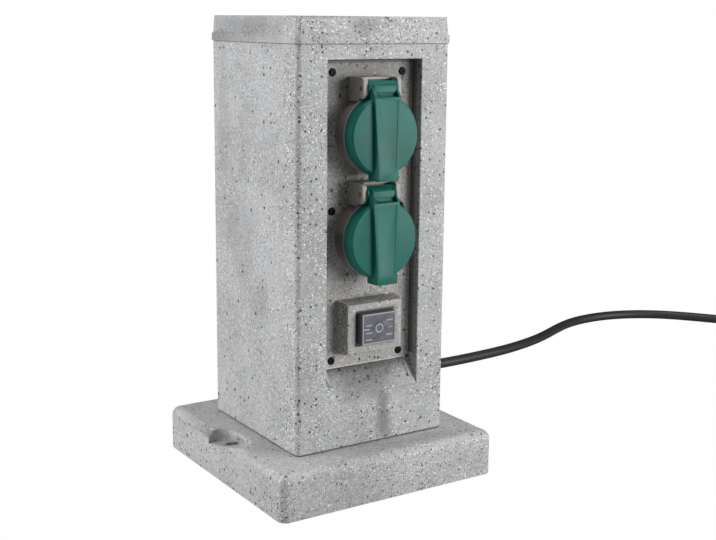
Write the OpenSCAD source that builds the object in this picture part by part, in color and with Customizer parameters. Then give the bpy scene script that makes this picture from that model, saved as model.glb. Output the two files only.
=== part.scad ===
// Outdoor socket pillar with two lidded sockets, a booted rocker switch and a mains cable.
// Origin at the middle of the base slab's underside, +Z up, sockets facing -Y.

/* [Base] */
// Width and depth of the base slab
base_w = 175; // [160:1:210]
// Height of the base slab
base_h = 32; // [28:1:42]
// Rounding of the slab's top edges and upright corners
base_r = 5; // [2:0.5:8]
// Thickness of the slab's walls and top
base_wall = 5; // [4:0.5:7]
// Thickness of the ribs under the slab
rib_t = 2.5; // [1.5:0.5:4]
// Rib cells along each side of the slab
rib_cells = 6; // [4:1:8]
// Radius of the two anchor holes
anchor_r = 3.5; // [2.5:0.25:5]
// Distance from the slab's side to an anchor hole
anchor_inset = 10; // [9:0.5:14]
// Reach of the anchor pocket in from the slab's side
pocket_reach = 16; // [16:0.5:18]
// Length of the anchor pocket along the slab's side
pocket_len = 46; // [42:1:50]
// Depth of the anchor pocket at its back end
pocket_depth = 10; // [8:0.5:12]

/* [Pillar] */
// Width and depth of the pillar
pillar_w = 122; // [118:1:132]
// Height of the pillar's shell
pillar_h = 276; // [270:1:320]
// Rounding of the pillar's upright corners
pillar_r = 4; // [2:0.5:6]
// Wall of the pillar
wall_t = 4; // [3:0.5:5]
// Side of the square screw bosses in the pillar's foot
foot_boss = 11; // [10:0.5:14]
// Height of those bosses
foot_boss_h = 18; // [14:1:24]

/* [Niche] */
// Width of the niche in the pillar's front
niche_w = 75; // [73:0.5:80]
// Depth of the niche from the pillar's front to the panel
niche_depth = 10; // [8:0.5:14]
// Wall left above the niche
niche_head = 10; // [8:0.5:16]
// Height of the sill's front edge above the slab
sill_front = 37; // [30:1:44]
// Rise of the sloped sill from its front edge to the panel
sill_rise = 17; // [12:0.5:20]
// Thickness of the niche's walls
niche_wall = 3; // [2:0.5:4]
// Width of the seat that carries the panel at each side
seat_side = 12.5; // [12.5:0.1:13]
// Width of the seat above the panel's window
seat_head = 15; // [13:0.5:17]
// Width of the seat below the panel's window
seat_foot = 11; // [10:0.5:12]
// Thickness of the seat
seat_t = 3; // [2:0.5:5]

/* [Cap] */
// Height of the cap
cap_h = 17.2; // [12:0.2:30]
// Rounding of the cap's top edge
cap_r = 1.5; // [0.5:0.25:3]
// Height of the cap's lip
lip_h = 5.6; // [4:0.2:8]
// How far the lip hangs down past the seal's top
lip_drop = 2.2; // [1:0.1:3]
// How far the lip stands out
lip_out = 1.8; // [1:0.1:3]
// Thickness of the cap's walls
cap_wall = 3; // [2:0.5:4]
// Thickness of the seal under the cap
seal_t = 0.8; // [0.6:0.1:1.5]
// Radius of the snap bead on the cap's spigot
bead_r = 0.6; // [0.4:0.1:0.8]

/* [Panel] */
// Thickness of the socket panel
panel_t = 3; // [2:0.5:4]
// Thickness of the panel's gasket
gasket_t = 1.5; // [1:0.25:3]
// Gap between the panel and the niche
panel_gap = 0.75; // [0.4:0.05:1]
// Rounding of the panel's lower corners
panel_r = 4; // [2:0.5:5]
// Radius of a panel screw's head
head_r = 2.6; // [2.4:0.1:3.3]
// Height of a panel screw's head
head_h = 1.8; // [1.4:0.1:2.4]
// Radius of a panel screw's shank
screw_r = 1.5; // [1.2:0.05:1.7]
// Distance from the panel's sides to its screws
screw_side = 8.75; // [8.25:0.25:9.25]
// Distance from the panel's top to the upper screws
screw_top = 7.8; // [6.5:0.1:9]
// Distance from the panel's foot to the lower screws
screw_foot = 5.5; // [5:0.1:6]
// Height of the middle screws above the lower socket's middle
screw_middle = 18.7; // [17:0.1:30]

/* [Switch] */
// Height of the switch's middle above the panel's foot
switch_rise = 29; // [28:0.5:31]
// Width of the bezel where it leaves the panel
bezel_w = 48; // [46:0.5:52]
// Height of the bezel where it leaves the panel
bezel_h = 38; // [36:0.5:40]
// How far the bezel stands out
bezel_out = 12; // [11:0.5:14]
// How much the bezel's sides lean in over its depth
bezel_lean = 1.8; // [0:0.1:2.5]
// Width of the switch's flange
flange_w = 31.4; // [30.5:0.1:33]
// Height of the switch's flange
flange_h = 24.4; // [23.5:0.1:26]
// Width of the switch's body
body_w = 27; // [26:0.25:28.5]
// Height of the switch's body
body_h = 21; // [20:0.25:22.5]
// Depth of the switch's body behind its flange
body_depth = 27.5; // [20:0.5:32]
// Width of the boot's raised part
boot_w = 28; // [27.5:0.1:29]
// Height of the boot's raised part
boot_h = 22; // [20.5:0.1:23]
// How far the boot stands out past its flange
boot_out = 6.3; // [6.1:0.1:8]
// Wall of the boot
boot_t = 1.2; // [0.8:0.1:1.4]
// Half the rocker's swing
rocker_tilt = 8; // [6:0.5:9]

/* [Sockets] */
// Distance between the two sockets' middles
socket_pitch = 70; // [70:0.5:80]
// Distance from the niche's top to the upper socket's middle
socket_drop = 50; // [46:0.5:54]
// Outer radius of a socket's collar
collar_r = 25.5; // [25.2:0.1:26.5]
// Height of the collar up to its flange
collar_h = 12; // [10:0.5:16]
// Thickness of the collar's flange
flange_t = 2; // [1.5:0.25:3]
// How far that flange stands out past the collar
flange_out = 1.8; // [1:0.1:2.2]
// Radius of the plug recess
recess_r = 19.6; // [19.5:0.05:19.8]
// Depth of the plug recess
recess_depth = 17.5; // [17:0.1:18]
// Distance between the contact holes
pin_pitch = 19; // [18.5:0.1:19.5]
// Radius of a contact hole
pin_hole_r = 2.7; // [2.5:0.05:3]
// Wall of the socket insert
insert_t = 1.3; // [1:0.05:1.4]
// Thickness of the recess floor
floor_t = 4; // [3:0.25:6]
// Wall of the tube that passes through the panel
tube_t = 1.5; // [1.2:0.05:1.6]
// Depth of the contact carrier
carrier_depth = 12.5; // [10:0.5:16]
// Thickness of the earth strip
strip_t = 0.8; // [0.6:0.1:1]

/* [Lids] */
// Depth of a lid
lid_depth = 7.3; // [6.5:0.1:9]
// Wall of the lid's skirt
skirt_t = 2; // [1.5:0.1:2.4]
// How far the lid's skirt stays inside the flange's edge
lid_inset = 0.5; // [0.2:0.1:1]
// Width of the strap at its top
strap_top_w = 20.5; // [18:0.25:22]
// Width of the strap at its foot
strap_foot_w = 17.5; // [14:0.25:20]
// How far the strap stands out past the lid's face
strap_out = 3.5; // [2:0.25:5]
// Radius of the hinge knuckle
knuckle_r = 5.2; // [4.8:0.1:5.6]
// Half the width of the hinge knuckle
knuckle_half = 11.7; // [11:0.1:12.5]
// Radius of the hinge pin
pin_r = 1.6; // [1.3:0.05:1.9]
// Height of the hinge pin above the flange's edge
hinge_gap = 3.9; // [3.9:0.1:4.6]
// Thickness of each hinge ear
ear_t = 3; // [2:0.25:4]
// Radius of the spring's wire
spring_wire_r = 0.4; // [0.3:0.05:0.45]
// Radius of the spring's turns
spring_r = 2.6; // [2.5:0.05:2.9]
// Turns of the spring
spring_turns = 5; // [3:1:6]

/* [Cable] */
// Diameter of the mains cable
cord_d = 9.2; // [7.5:0.1:9.6]
// Diameter of each lead
lead_d = 2.8; // [2.2:0.1:3]
// Height of the cable's exit above the slab
exit_rise = 20; // [18:0.5:24]
// Radius of the bush's neck in the pillar's wall
neck_r = 8; // [7:0.25:10]
// Length of the bush's tapered relief outside
relief_h = 22; // [16:0.5:22]
// Radius of the coil's outer loop
coil_r = 55; // [50:1:65]
// Loops in the coil
coil_loops = 2; // [2:2:4]
// Radius of the plug's body
plug_r = 18.5; // [18:0.25:19.5]
// Length of the plug's body
plug_h = 34; // [30:0.5:40]
// Length of the plug's contacts
plug_pin_h = 19; // [18.5:0.1:19.5]
// Radius of the plug's contacts
plug_pin_r = 2.4; // [2.35:0.01:2.45]

/* [Hidden] */
$fn = 72;
granite = "#afb1b4";
socket_grey = "#96918c";
lid_green = "#1f7a68";
rubber = "#26252a";
brass = "#b08d57";
steel = "#b9bcc0";
white_plastic = "#e8e6e0";

// Small gap that moving and loose fits keep
fit = 0.08;
// Gap that lets rigid pieces slip into one another
slip = 0.3;
// Overlap that joins the solids of one piece
weld = 0.5;

// Pillar and niche
pillar_top = base_h + pillar_h;
inner_w = pillar_w - 2 * wall_t;
inner_r = max(pillar_r - wall_t, 0) + 1.5;
panel_y = -(pillar_w / 2 - niche_depth);
seat_y = panel_y + panel_t + gasket_t;
niche_top = pillar_top - niche_head;
sill_front_z = base_h + sill_front;
sill_back_z = sill_front_z + sill_rise;
window_top = niche_top - seat_head;
window_foot = sill_back_z + seat_foot;
window_w = niche_w - 2 * seat_side;
foot_boss_at = inner_w / 2 - foot_boss / 2;
foot_screw_r = 2;
foot_head_r = 4;
foot_grip = 12;
pocket_back = 20;
anchor_seat_r = 6;
bead_corner = 15;
sill_rib_t = 1.2;
sill_rib_h = 0.9;
sill_rib_x = niche_w / 2 - 4.5;

// Panel
panel_w = niche_w - 2 * panel_gap;
panel_foot = sill_back_z + 1;
panel_top = niche_top - panel_gap;
panel_middle = (panel_foot + panel_top) / 2;
panel_h = panel_top - panel_foot;
upper_z = niche_top - socket_drop;
lower_z = upper_z - socket_pitch;
switch_z = panel_foot + switch_rise;
screw_x = panel_w / 2 - screw_side;
screw_rows = [panel_foot + screw_foot, lower_z + screw_middle, panel_top - screw_top];
screw_sink = 0.8;
screw_boss_r = 3.5;
screw_boss_h = 8;

// Cap
cap_z = pillar_top + seal_t;
spigot_h = niche_head - niche_wall - 0.7;
spigot_w = inner_w - 2 * slip;
bead_z = pillar_top - spigot_h / 2;

// Switch, in depths out from the panel's face
bezel_floor = 7.5;
bezel_floor_t = 2.5;
flange_thick = 2;
flange_face = bezel_floor + flange_thick;
boot_flange_t = 1.2;
boot_face = flange_face + boot_flange_t + boot_out;
well_w = body_w - 2.6;
well_h = body_h - 2.6;
rocker_out = bezel_floor - 0.5;
rocker_half = well_w / 2 - 0.7;
rocker_h = well_h - 0.8;
trunnion_r = 1.2;
tab_w = 6.3;
tab_t = 0.8;
tab_h = 9;
tab_x = 7;
tab_y = 5;
switch_back = bezel_floor - body_depth;
tab_back = switch_back - tab_h;

// Sockets, in depths out from the panel's face
socket_face = collar_h + flange_t;
flange_r = collar_r + flange_out;
recess_floor = socket_face - recess_depth;
insert_r = recess_r + insert_t;
tube_in_r = insert_r + 0.2;
tube_r = tube_in_r + tube_t;
nut_r = window_w / 2 - 0.8;
nut_h = 5;
rim_r = tube_in_r + 1.4;
insert_back = recess_floor - floor_t;
carrier_back = insert_back - carrier_depth;
carrier_r = recess_r - 0.1;
tube_back = -(panel_t + nut_h + 1);
sleeve_r = pin_hole_r + 0.6;
terminal = 6.4;
terminal_back = carrier_back - 1.5;
earth_y = -11;
strip_w = 5;
centre_screw_r = 1.75;
centre_head_r = 3.4;

// Lids
skirt_r = flange_r - lid_inset;
skirt_back = socket_face + 0.2;
lid_face = skirt_back + lid_depth;
lid_face_r = skirt_r - 1.3;
hinge_y = flange_r + hinge_gap;
hinge_out = socket_face + 0.5;
ear_in = knuckle_half + slip;
ear_out = ear_in + ear_t;
ear_front = hinge_out + 3.5;
bridge_t = 1.6;
hinge_clear = 0.5;
bracket_top = hinge_y + knuckle_r + hinge_clear + bridge_t;
bracket_back = hinge_out - knuckle_r - hinge_clear - 0.3;
strap_face = lid_face + strap_out;
strap_top = hinge_y - 5.5;
strap_foot = -(skirt_r + 3);
cheek_t = 3;
cavity_half = 5.5;
cavity_r = knuckle_r - 1;
seal_in_r = recess_r + 0.5;
seal_out_r = skirt_r - skirt_t - 0.2;
seal_top = lid_face - 3.2;

// Cable
cord_r = cord_d / 2;
lead_r = lead_d / 2;
exit_z = base_h + exit_rise;
bush_back = pillar_w / 2 - wall_t;
bush_flange_t = 3;
bush_flange_r = neck_r + 3.5;
bush_tip = pillar_w / 2 + bush_flange_t + relief_h;
bush_tail = 12;
bush_nut_h = 5;
clamp_w = 26;
clamp_d = 12;
clamp_y = bush_back - bush_tail - clamp_d / 2 - 3;
cord_end_y = clamp_y - clamp_d / 2 - 6;
clamp_h = 7;
clamp_gap = 0.1;
clamp_screw_x = 9;

// Route of the cable outside, from the bush's tip over the floor to the coil
cable_steps = [
    [0, 0, exit_z], [0, 8, exit_z], [2, 21, 49], [6, 34, 42], [12, 45, 32],
    [20, 54, 22], [31, 60.5, 13], [45, 64, 7], [61, 65, 4.8], [80, 65, 4.6],
    [101, 64.5, 4.6], [123, 63.5, 4.6], [146, 62, 4.6], [170, 60.5, 4.6],
    [195, 59.5, 4.6], [219, 59.5, 4.6], [242, 60, 4.6], [264, 61.5, 4.6],
    [285, 63.5, 4.6], [305, 66.5, 4.6], [325, 71, 4.6], [344, 76.5, 4.6],
    [363, 83.5, 4.6], [381, 91.5, 4.6], [399, 100, 4.6], [417, 107.5, 4.6],
    [436, 113, 4.6], [456, 115.5, 4.6], [476, 115, 4.6], [496, 111, 4.6],
    [515, 103.5, 4.6], [532, 93, 4.6], [547, 80, 4.6], [560, 65, 4.6],
    [572, 49, 4.6], [584, 32, 4.6], [596, 15, 4.6], [608, -2, 4.6], [620, -19, 4.6]];
cable_route = [for (step = cable_steps) step + [0, bush_tip, 0]];

// Flat rectangle with round corners, centred
module round_rect(w, h, r) {
    square([w - 2 * r, h], center = true);
    square([w, h - 2 * r], center = true);
    for (x = [-1, 1], y = [-1, 1])
        translate([x * (w / 2 - r), y * (h / 2 - r)]) circle(r);
}

// Flat rectangle standing on the X axis with round upper corners
module arch_rect(w, h, r) {
    translate([-w / 2, 0]) square([w, h - r]);
    translate([r - w / 2, 0]) square([w - 2 * r, h]);
    for (x = [-1, 1]) translate([x * (w / 2 - r), h - r]) circle(r);
}

// Block with round upright corners and round top edges
module soft_block(w, d, h, corner, edge) {
    intersection() {
        linear_extrude(h) round_rect(w, d, corner);
        rotate([90, 0, 0]) linear_extrude(d + 2, center = true) arch_rect(w, h, edge);
        rotate([90, 0, 90]) linear_extrude(w + 2, center = true) arch_rect(d, h, edge);
    }
}

// Extrudes a profile drawn in Y and Z along X, centred on x = 0
module across(w) {
    rotate([90, 0, 90]) linear_extrude(w, center = true) children();
}

// Turns a piece drawn with its axis along Z so that it looks out of the panel at height z
module facing(z) {
    translate([0, panel_y, z]) rotate([90, 0, 0]) children();
}

// Unit vector along v
function unit(v) = v / norm(v);

// The part of v that is square to the unit vector t, as a unit vector
function square_to(v, t) = unit(v - (v * t) * t);

// Direction of a path at its point i
function heading(path, i) =
    unit(path[min(i + 1, len(path) - 1)] - path[max(i - 1, 0)]);

// One side direction per point of the path, carried along without twist
function side_dirs(path, start) = [
    for (i = 0, s = square_to(start, heading(path, 0)); i < len(path);
        i = i + 1, s = i < len(path) ? square_to(s, heading(path, i)) : s) s];

// Length of a path
function path_length(path) =
    len(path) < 2 ? 0
    : [for (i = 0, sum = 0; i < len(path);
        i = i + 1, sum = i < len(path) ? sum + norm(path[i] - path[i - 1]) : sum) sum][len(path) - 1];

// Round tube of radius r swept along a path
module tube(path, r, sides, start = [0, 0, 1]) {
    dirs = side_dirs(path, start);
    rings = len(path);
    points = [
        for (i = [0:rings - 1], k = [0:sides - 1])
            let (t = heading(path, i), u = dirs[i], v = cross(t, u), a = 360 * k / sides)
            path[i] + r * (cos(a) * u + sin(a) * v)];
    skin = [
        for (i = [0:rings - 2], k = [0:sides - 1])
            let (a = i * sides + k, b = i * sides + (k + 1) % sides)
            each [[a, a + sides, b], [b, a + sides, b + sides]]];
    caps = [
        for (k = [1:sides - 2])
            let (last = (rings - 1) * sides)
            each [[0, k, k + 1], [last, last + k + 1, last + k]]];
    polyhedron(points, concat(skin, caps));
}

// Point on a smooth bend from a to b with handles h and g
function bend(a, h, g, b, t) =
    pow(1 - t, 3) * a + 3 * pow(1 - t, 2) * t * (a + h) + 3 * (1 - t) * t * t * (b + g) + pow(t, 3) * b;

// Path of a lead from a to b, square to what it meets: it leaves along h and arrives along -g
function lead_path(a, h, b, g, steps) =
    let (stub = 1.5, near = a + stub * unit(h), far = b + stub * unit(g))
    concat([a], [for (i = [0:steps]) bend(near, h, g, far, i / steps)], [b]);

// Base
module base_shape() {
    soft_block(base_w, base_w, base_h, base_r, base_r);
}

module underside_cells() {
    span = base_w - 2 * base_wall;
    pitch = span / rib_cells;
    cell = pitch - rib_t;
    for (i = [0:rib_cells - 1], j = [0:rib_cells - 1])
        translate([-span / 2 + pitch * i + rib_t / 2, -span / 2 + pitch * j + rib_t / 2, -1])
            cube([cell, cell, base_h - base_wall + 1]);
}

// Outline of an anchor pocket at the slab's side, grown all round
module pocket_outline(grow = 0) {
    translate([0, pocket_back - pocket_len / 2])
        round_rect(2 * (pocket_reach + grow), pocket_len + 2 * grow, pocket_reach - 1 + grow);
}

// An anchor pocket, deep at its back end and rising to the slab's top in front
module anchor_pocket() {
    intersection() {
        translate([0, 0, base_h - pocket_depth - 1]) linear_extrude(pocket_depth + 2) pocket_outline();
        across(4 * pocket_reach) polygon([
            [pocket_back + 1, base_h - pocket_depth], [pocket_back - pocket_len, base_h],
            [pocket_back - pocket_len, base_h + 1], [pocket_back + 1, base_h + 1]]);
    }
}

module base_plate() {
    anchor_x = base_w / 2 - anchor_inset;
    color(granite) difference() {
        union() {
            difference() {
                base_shape();
                underside_cells();
            }
            intersection() {
                base_shape();
                union() {
                    for (side = [-1, 1]) {
                        translate([side * anchor_x, 0, 0]) cylinder(r = anchor_r + 3.5, h = base_h - 1);
                        translate([side * base_w / 2, 0, base_h - pocket_depth - 3])
                            linear_extrude(pocket_depth + 2) pocket_outline(2.5);
                    }
                    for (x = [-1, 1], y = [-1, 1])
                        translate([x * foot_boss_at, y * foot_boss_at, 0])
                            cylinder(r = foot_head_r + 3, h = base_h - 1);
                }
            }
            translate([-clamp_w / 2, clamp_y - clamp_d / 2, base_h - 1])
                cube([clamp_w, clamp_d, exit_rise + 0.7]);
        }
        for (side = [-1, 1]) {
            translate([side * base_w / 2, 0, 0]) anchor_pocket();
            translate([side * anchor_x, 0, -1]) cylinder(r = anchor_r, h = base_h);
            translate([side * anchor_x, 0, base_h - pocket_depth]) cylinder(r = anchor_seat_r, h = pocket_depth);
        }
        for (x = [-1, 1], y = [-1, 1])
            translate([x * foot_boss_at, y * foot_boss_at, -1]) {
                cylinder(r = foot_screw_r + 0.05, h = base_h + 2);
                cylinder(r = foot_head_r + 0.5, h = base_h - foot_grip + 1);
            }
        translate([0, clamp_y, exit_z]) rotate([90, 0, 0])
            cylinder(r = cord_r + clamp_gap, h = clamp_d + 2, center = true);
        for (side = [-1, 1]) translate([side * clamp_screw_x, clamp_y, exit_z - 12])
            cylinder(r = screw_r + 0.05, h = 14);
    }
}

module base_screws() {
    color(steel) for (x = [-1, 1], y = [-1, 1])
        translate([x * foot_boss_at, y * foot_boss_at, base_h - foot_grip]) {
            translate([0, 0, -3]) cylinder(r = foot_head_r, h = 3);
            translate([0, 0, -weld]) cylinder(r = foot_screw_r, h = foot_grip + foot_boss_h - 4 + weld);
        }
}

// Pillar
module niche_surround() {
    front = -pillar_w / 2 + 1;
    slope_t = 2 * niche_wall;
    top = niche_top + niche_wall;
    across(niche_w + 2 * niche_wall) polygon([
        [front, sill_front_z - slope_t], [panel_y, sill_back_z - slope_t],
        [seat_y + seat_t, sill_back_z - slope_t], [seat_y + seat_t, top], [front, top]]);
}

// The niche's hollow, with two thin ribs left standing on the sloped sill
module niche_hollow() {
    over = 1;
    slope = sill_rise / niche_depth;
    run = 0.7 * niche_depth;
    difference() {
        across(niche_w) polygon([
            [-pillar_w / 2 - over, sill_front_z - slope * over], [panel_y, sill_back_z],
            [seat_y, sill_back_z], [seat_y, niche_top], [-pillar_w / 2 - over, niche_top]]);
        for (side = [-1, 1]) translate([side * sill_rib_x, 0, 0]) across(sill_rib_t) polygon([
            [panel_y, sill_back_z - 1], [panel_y, sill_back_z + sill_rib_h],
            [panel_y - run, sill_back_z + sill_rib_h - slope * run],
            [panel_y - run, sill_back_z - 1 - slope * run]]);
    }
}

module at_panel_screws() {
    for (side = [-1, 1], z = screw_rows) translate([side * screw_x, 0, z]) rotate([-90, 0, 0]) children();
}

module snap_beads(w, r) {
    length = w - 2 * bead_corner;
    for (turn = [0:90:270]) rotate([0, 0, turn])
        translate([0, w / 2, bead_z]) rotate([0, 90, 0]) cylinder(r = r, h = length, center = true);
}

module pillar_shell() {
    color(granite) difference() {
        union() {
            translate([0, 0, base_h]) linear_extrude(pillar_h) difference() {
                round_rect(pillar_w, pillar_w, pillar_r);
                round_rect(inner_w, inner_w, inner_r);
            }
            niche_surround();
            at_panel_screws() translate([0, 0, seat_y + seat_t - weld])
                cylinder(r = screw_boss_r, h = screw_boss_h + weld);
            for (x = [-1, 1], y = [-1, 1])
                translate([x * foot_boss_at, y * foot_boss_at, base_h + foot_boss_h / 2])
                    cube([foot_boss + 1, foot_boss + 1, foot_boss_h], center = true);
        }
        niche_hollow();
        translate([-window_w / 2, seat_y - 1, window_foot])
            cube([window_w, seat_t + 2, window_top - window_foot]);
        at_panel_screws() translate([0, 0, seat_y - 1])
            cylinder(r = screw_r + 0.05, h = seat_t + screw_boss_h);
        for (x = [-1, 1], y = [-1, 1])
            translate([x * foot_boss_at, y * foot_boss_at, base_h - 1])
                cylinder(r = foot_screw_r + 0.05, h = foot_boss_h - 1);
        translate([0, pillar_w / 2 - wall_t / 2, exit_z]) rotate([90, 0, 0])
            cylinder(r = neck_r + 0.1, h = wall_t + 4, center = true);
        snap_beads(inner_w, bead_r + 0.3);
    }
}

// Cap
module top_cap() {
    lip_w = pillar_w + 2 * lip_out;
    color(granite) difference() {
        union() {
            translate([0, 0, cap_z]) soft_block(pillar_w, pillar_w, cap_h, pillar_r, cap_r);
            difference() {
                translate([0, 0, cap_z - lip_drop]) intersection() {
                    linear_extrude(lip_h) round_rect(lip_w, lip_w, pillar_r + lip_out);
                    for (turn = [0, 90]) rotate([90, 0, turn]) translate([0, lip_h / 2, 0])
                        linear_extrude(lip_w + 2, center = true) round_rect(lip_w, lip_h, lip_out - 0.1);
                }
                translate([0, 0, cap_z - lip_drop - 1]) linear_extrude(lip_drop + 1)
                    round_rect(pillar_w + 2 * slip, pillar_w + 2 * slip, pillar_r + slip);
            }
            translate([0, 0, pillar_top - spigot_h]) linear_extrude(spigot_h + seal_t + 1)
                round_rect(spigot_w, spigot_w, inner_r);
            snap_beads(spigot_w, bead_r);
        }
        translate([0, 0, pillar_top - spigot_h - 1])
            linear_extrude(cap_z + cap_h - cap_wall - pillar_top + spigot_h + 1)
                round_rect(spigot_w - 2 * cap_wall, spigot_w - 2 * cap_wall, 1);
    }
}

module cap_seal() {
    color(rubber) translate([0, 0, pillar_top]) linear_extrude(seal_t) difference() {
        round_rect(pillar_w - 1.2, pillar_w - 1.2, pillar_r - 0.6);
        round_rect(inner_w, inner_w, inner_r);
    }
}

// Panel
module panel_outline(inset = 0) {
    translate([0, panel_h / 2 - inset]) mirror([0, 1, 0])
        arch_rect(panel_w - 2 * inset, panel_h - 2 * inset, panel_r);
}

module frustum(w, h, out, lean) {
    intersection() {
        rotate([90, 0, 0]) linear_extrude(h, center = true) polygon([
            [-w / 2, 0], [w / 2, 0], [w / 2 - lean, out], [lean - w / 2, out]]);
        across(w) polygon([
            [-h / 2, 0], [h / 2, 0], [h / 2 - lean, out], [lean - h / 2, out]]);
    }
}

module centred_box(w, h, from, to) {
    translate([-w / 2, -h / 2, from]) cube([w, h, to - from]);
}

module socket_panel() {
    cavity_w = bezel_w - 7;
    cavity_h = bezel_h - 7;
    color(granite) difference() {
        union() {
            facing(panel_middle) translate([0, 0, -panel_t]) linear_extrude(panel_t) panel_outline();
            facing(switch_z) translate([0, 0, -weld])
                frustum(bezel_w, bezel_h, bezel_out + weld, bezel_lean);
        }
        facing(switch_z) {
            centred_box(cavity_w, cavity_h, -panel_t - 1, bezel_floor - bezel_floor_t);
            centred_box(flange_w + 0.6, flange_h + 0.6, bezel_floor, bezel_out + 1);
            centred_box(body_w + 0.6, body_h + 0.6, 0, bezel_out);
        }
        for (z = [upper_z, lower_z]) facing(z) translate([0, 0, -panel_t - 1])
            cylinder(r = tube_r + slip, h = panel_t + 2);
        at_panel_screws() {
            translate([0, 0, panel_y - 1]) cylinder(r = screw_r + slip, h = panel_t + 2);
            translate([0, 0, panel_y - 1]) cylinder(r = head_r + slip, h = 1 + screw_sink);
        }
    }
}

module panel_gasket() {
    color(rubber) difference() {
        facing(panel_middle) translate([0, 0, -panel_t - gasket_t])
            linear_extrude(gasket_t) panel_outline(0.5);
        translate([-window_w / 2 - 0.5, seat_y - gasket_t - 1, window_foot - 0.5])
            cube([window_w + 1, gasket_t + 2, window_top - window_foot + 1]);
        at_panel_screws() translate([0, 0, seat_y - gasket_t - 1])
            cylinder(r = screw_r + slip, h = gasket_t + 2);
    }
}

module panel_screws() {
    seat = panel_y + screw_sink;
    color(rubber) at_panel_screws() {
        translate([0, 0, seat - head_h]) cylinder(r = head_r, h = head_h);
        translate([0, 0, seat - weld])
            cylinder(r = screw_r, h = panel_t - screw_sink + gasket_t + seat_t + screw_boss_h - 2 + weld);
    }
}

// Sockets, each piece drawn looking out of the panel
module socket_housing() {
    ear_foot = sqrt(pow(skirt_r + 0.5, 2) - pow(ear_in, 2));
    corner = 3;
    difference() {
        union() {
            rotate_extrude() polygon([
                [tube_in_r, tube_back], [tube_r, tube_back], [tube_r, 0], [collar_r, 0],
                [collar_r, collar_h], [flange_r, collar_h], [flange_r, socket_face],
                [rim_r + 0.2, socket_face], [rim_r + 0.2, socket_face - 1], [tube_in_r, socket_face - 1]]);
            for (side = [-1, 1]) translate([side * (ear_in + ear_out) / 2, 0, 0]) across(ear_t) {
                translate([ear_foot, 0]) square([bracket_top - ear_foot, ear_front - corner]);
                translate([ear_foot + corner, 0]) square([bracket_top - ear_foot - 2 * corner, ear_front]);
                for (y = [ear_foot + corner, bracket_top - corner])
                    translate([y, ear_front - corner]) circle(corner);
                translate([tube_r, 0]) square([ear_foot - tube_r + 1, collar_h]);
            }
            translate([-ear_in - 1, tube_r, 0]) cube([2 * ear_in + 2, bracket_top - tube_r, bracket_back]);
            translate([-ear_in - 1, bracket_top - bridge_t, 0])
                cube([2 * ear_in + 2, bridge_t, hinge_out - 3.5]);
        }
        translate([0, 0, tube_back - 1]) cylinder(r = tube_in_r, h = socket_face - tube_back);
        translate([0, hinge_y, hinge_out]) rotate([0, 90, 0]) {
            cylinder(r = pin_r + 0.03, h = 2 * ear_out + 2, center = true);
            cylinder(r = knuckle_r + hinge_clear, h = 2 * ear_in, center = true);
        }
    }
}

module ring_nut() {
    notch = 4;
    difference() {
        translate([0, 0, -panel_t - nut_h]) cylinder(r = nut_r, h = nut_h);
        translate([0, 0, -panel_t - nut_h - 1]) cylinder(r = tube_r + 0.05, h = nut_h + 2);
        for (turn = [45:90:315]) rotate([0, 0, turn])
            translate([nut_r - 0.7, -notch / 2, -panel_t - nut_h - 1]) cube([4, notch, 3.5]);
    }
}

module socket_insert() {
    key_w = 4.8;
    key_in = 2.9;
    difference() {
        union() {
            rotate_extrude() polygon([
                [0, insert_back], [insert_r, insert_back], [insert_r, socket_face - 1],
                [rim_r, socket_face - 1], [rim_r, socket_face], [recess_r, socket_face],
                [recess_r, recess_floor], [0, recess_floor]]);
            intersection() {
                for (side = [-1, 1]) translate([side * (recess_r - key_in / 2 + 0.5), 0, 0])
                    centred_box(key_in + 1, key_w, insert_back, socket_face - 1);
                translate([0, 0, insert_back]) cylinder(r = insert_r, h = recess_depth + floor_t);
            }
        }
        for (side = [-1, 1]) translate([side * pin_pitch / 2, 0, insert_back - 1])
            cylinder(r = pin_hole_r, h = floor_t + 2);
        translate([0, 0, insert_back - 1]) cylinder(r = centre_screw_r + 0.15, h = floor_t + 2);
        translate([0, 0, recess_floor - 1.5])
            cylinder(r1 = centre_screw_r + 0.15, r2 = centre_head_r + 0.25, h = 1.6);
        for (side = [-1, 1]) translate([0, side * (recess_r - strip_t), 0])
            centred_box(strip_w + 1, 2 * strip_t, insert_back - 1, recess_floor + 1);
    }
}

module contact_carrier() {
    difference() {
        translate([0, 0, carrier_back]) cylinder(r = carrier_r, h = carrier_depth);
        centred_box(strip_w + 0.6, 2 * carrier_r + 2, insert_back - strip_t, insert_back + 1);
        for (side = [-1, 1]) translate([side * pin_pitch / 2, 0, 0]) {
            centred_box(terminal + 0.2, terminal + 0.2, carrier_back - 1, carrier_back + 6);
            translate([0, 0, carrier_back + 5]) cylinder(r = sleeve_r + 0.1, h = carrier_depth);
        }
        translate([0, earth_y, 0])
            centred_box(terminal + 0.2, terminal + 0.2, carrier_back - 1, insert_back + 1);
        translate([0, 0, insert_back - 9]) cylinder(r = centre_screw_r + 0.05, h = 12);
    }
}

module earth_clip() {
    outer = recess_r - 0.2;
    inner = outer - strip_t;
    bulge = 1.6;
    back = insert_back - strip_t;
    outside = [[outer, socket_face - 2], [outer - bulge, socket_face - 7], [outer, recess_floor + 4],
        [outer, back]];
    inside = [[inner, insert_back], [inner, recess_floor + 4], [inner - bulge, socket_face - 7],
        [inner, socket_face - 2]];
    flip = function (p) [-p[0], p[1]];
    backwards = function (list) [for (i = [len(list) - 1:-1:0]) list[i]];
    difference() {
        union() {
            across(strip_w) polygon(concat(
                outside, [for (p = backwards(outside)) flip(p)],
                [for (p = backwards(inside)) flip(p)], inside));
            translate([0, earth_y, 0]) centred_box(terminal, terminal, terminal_back, back + weld);
        }
        translate([0, 0, back - 1]) cylinder(r = centre_screw_r + 0.1, h = strip_t + 2);
    }
}

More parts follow.
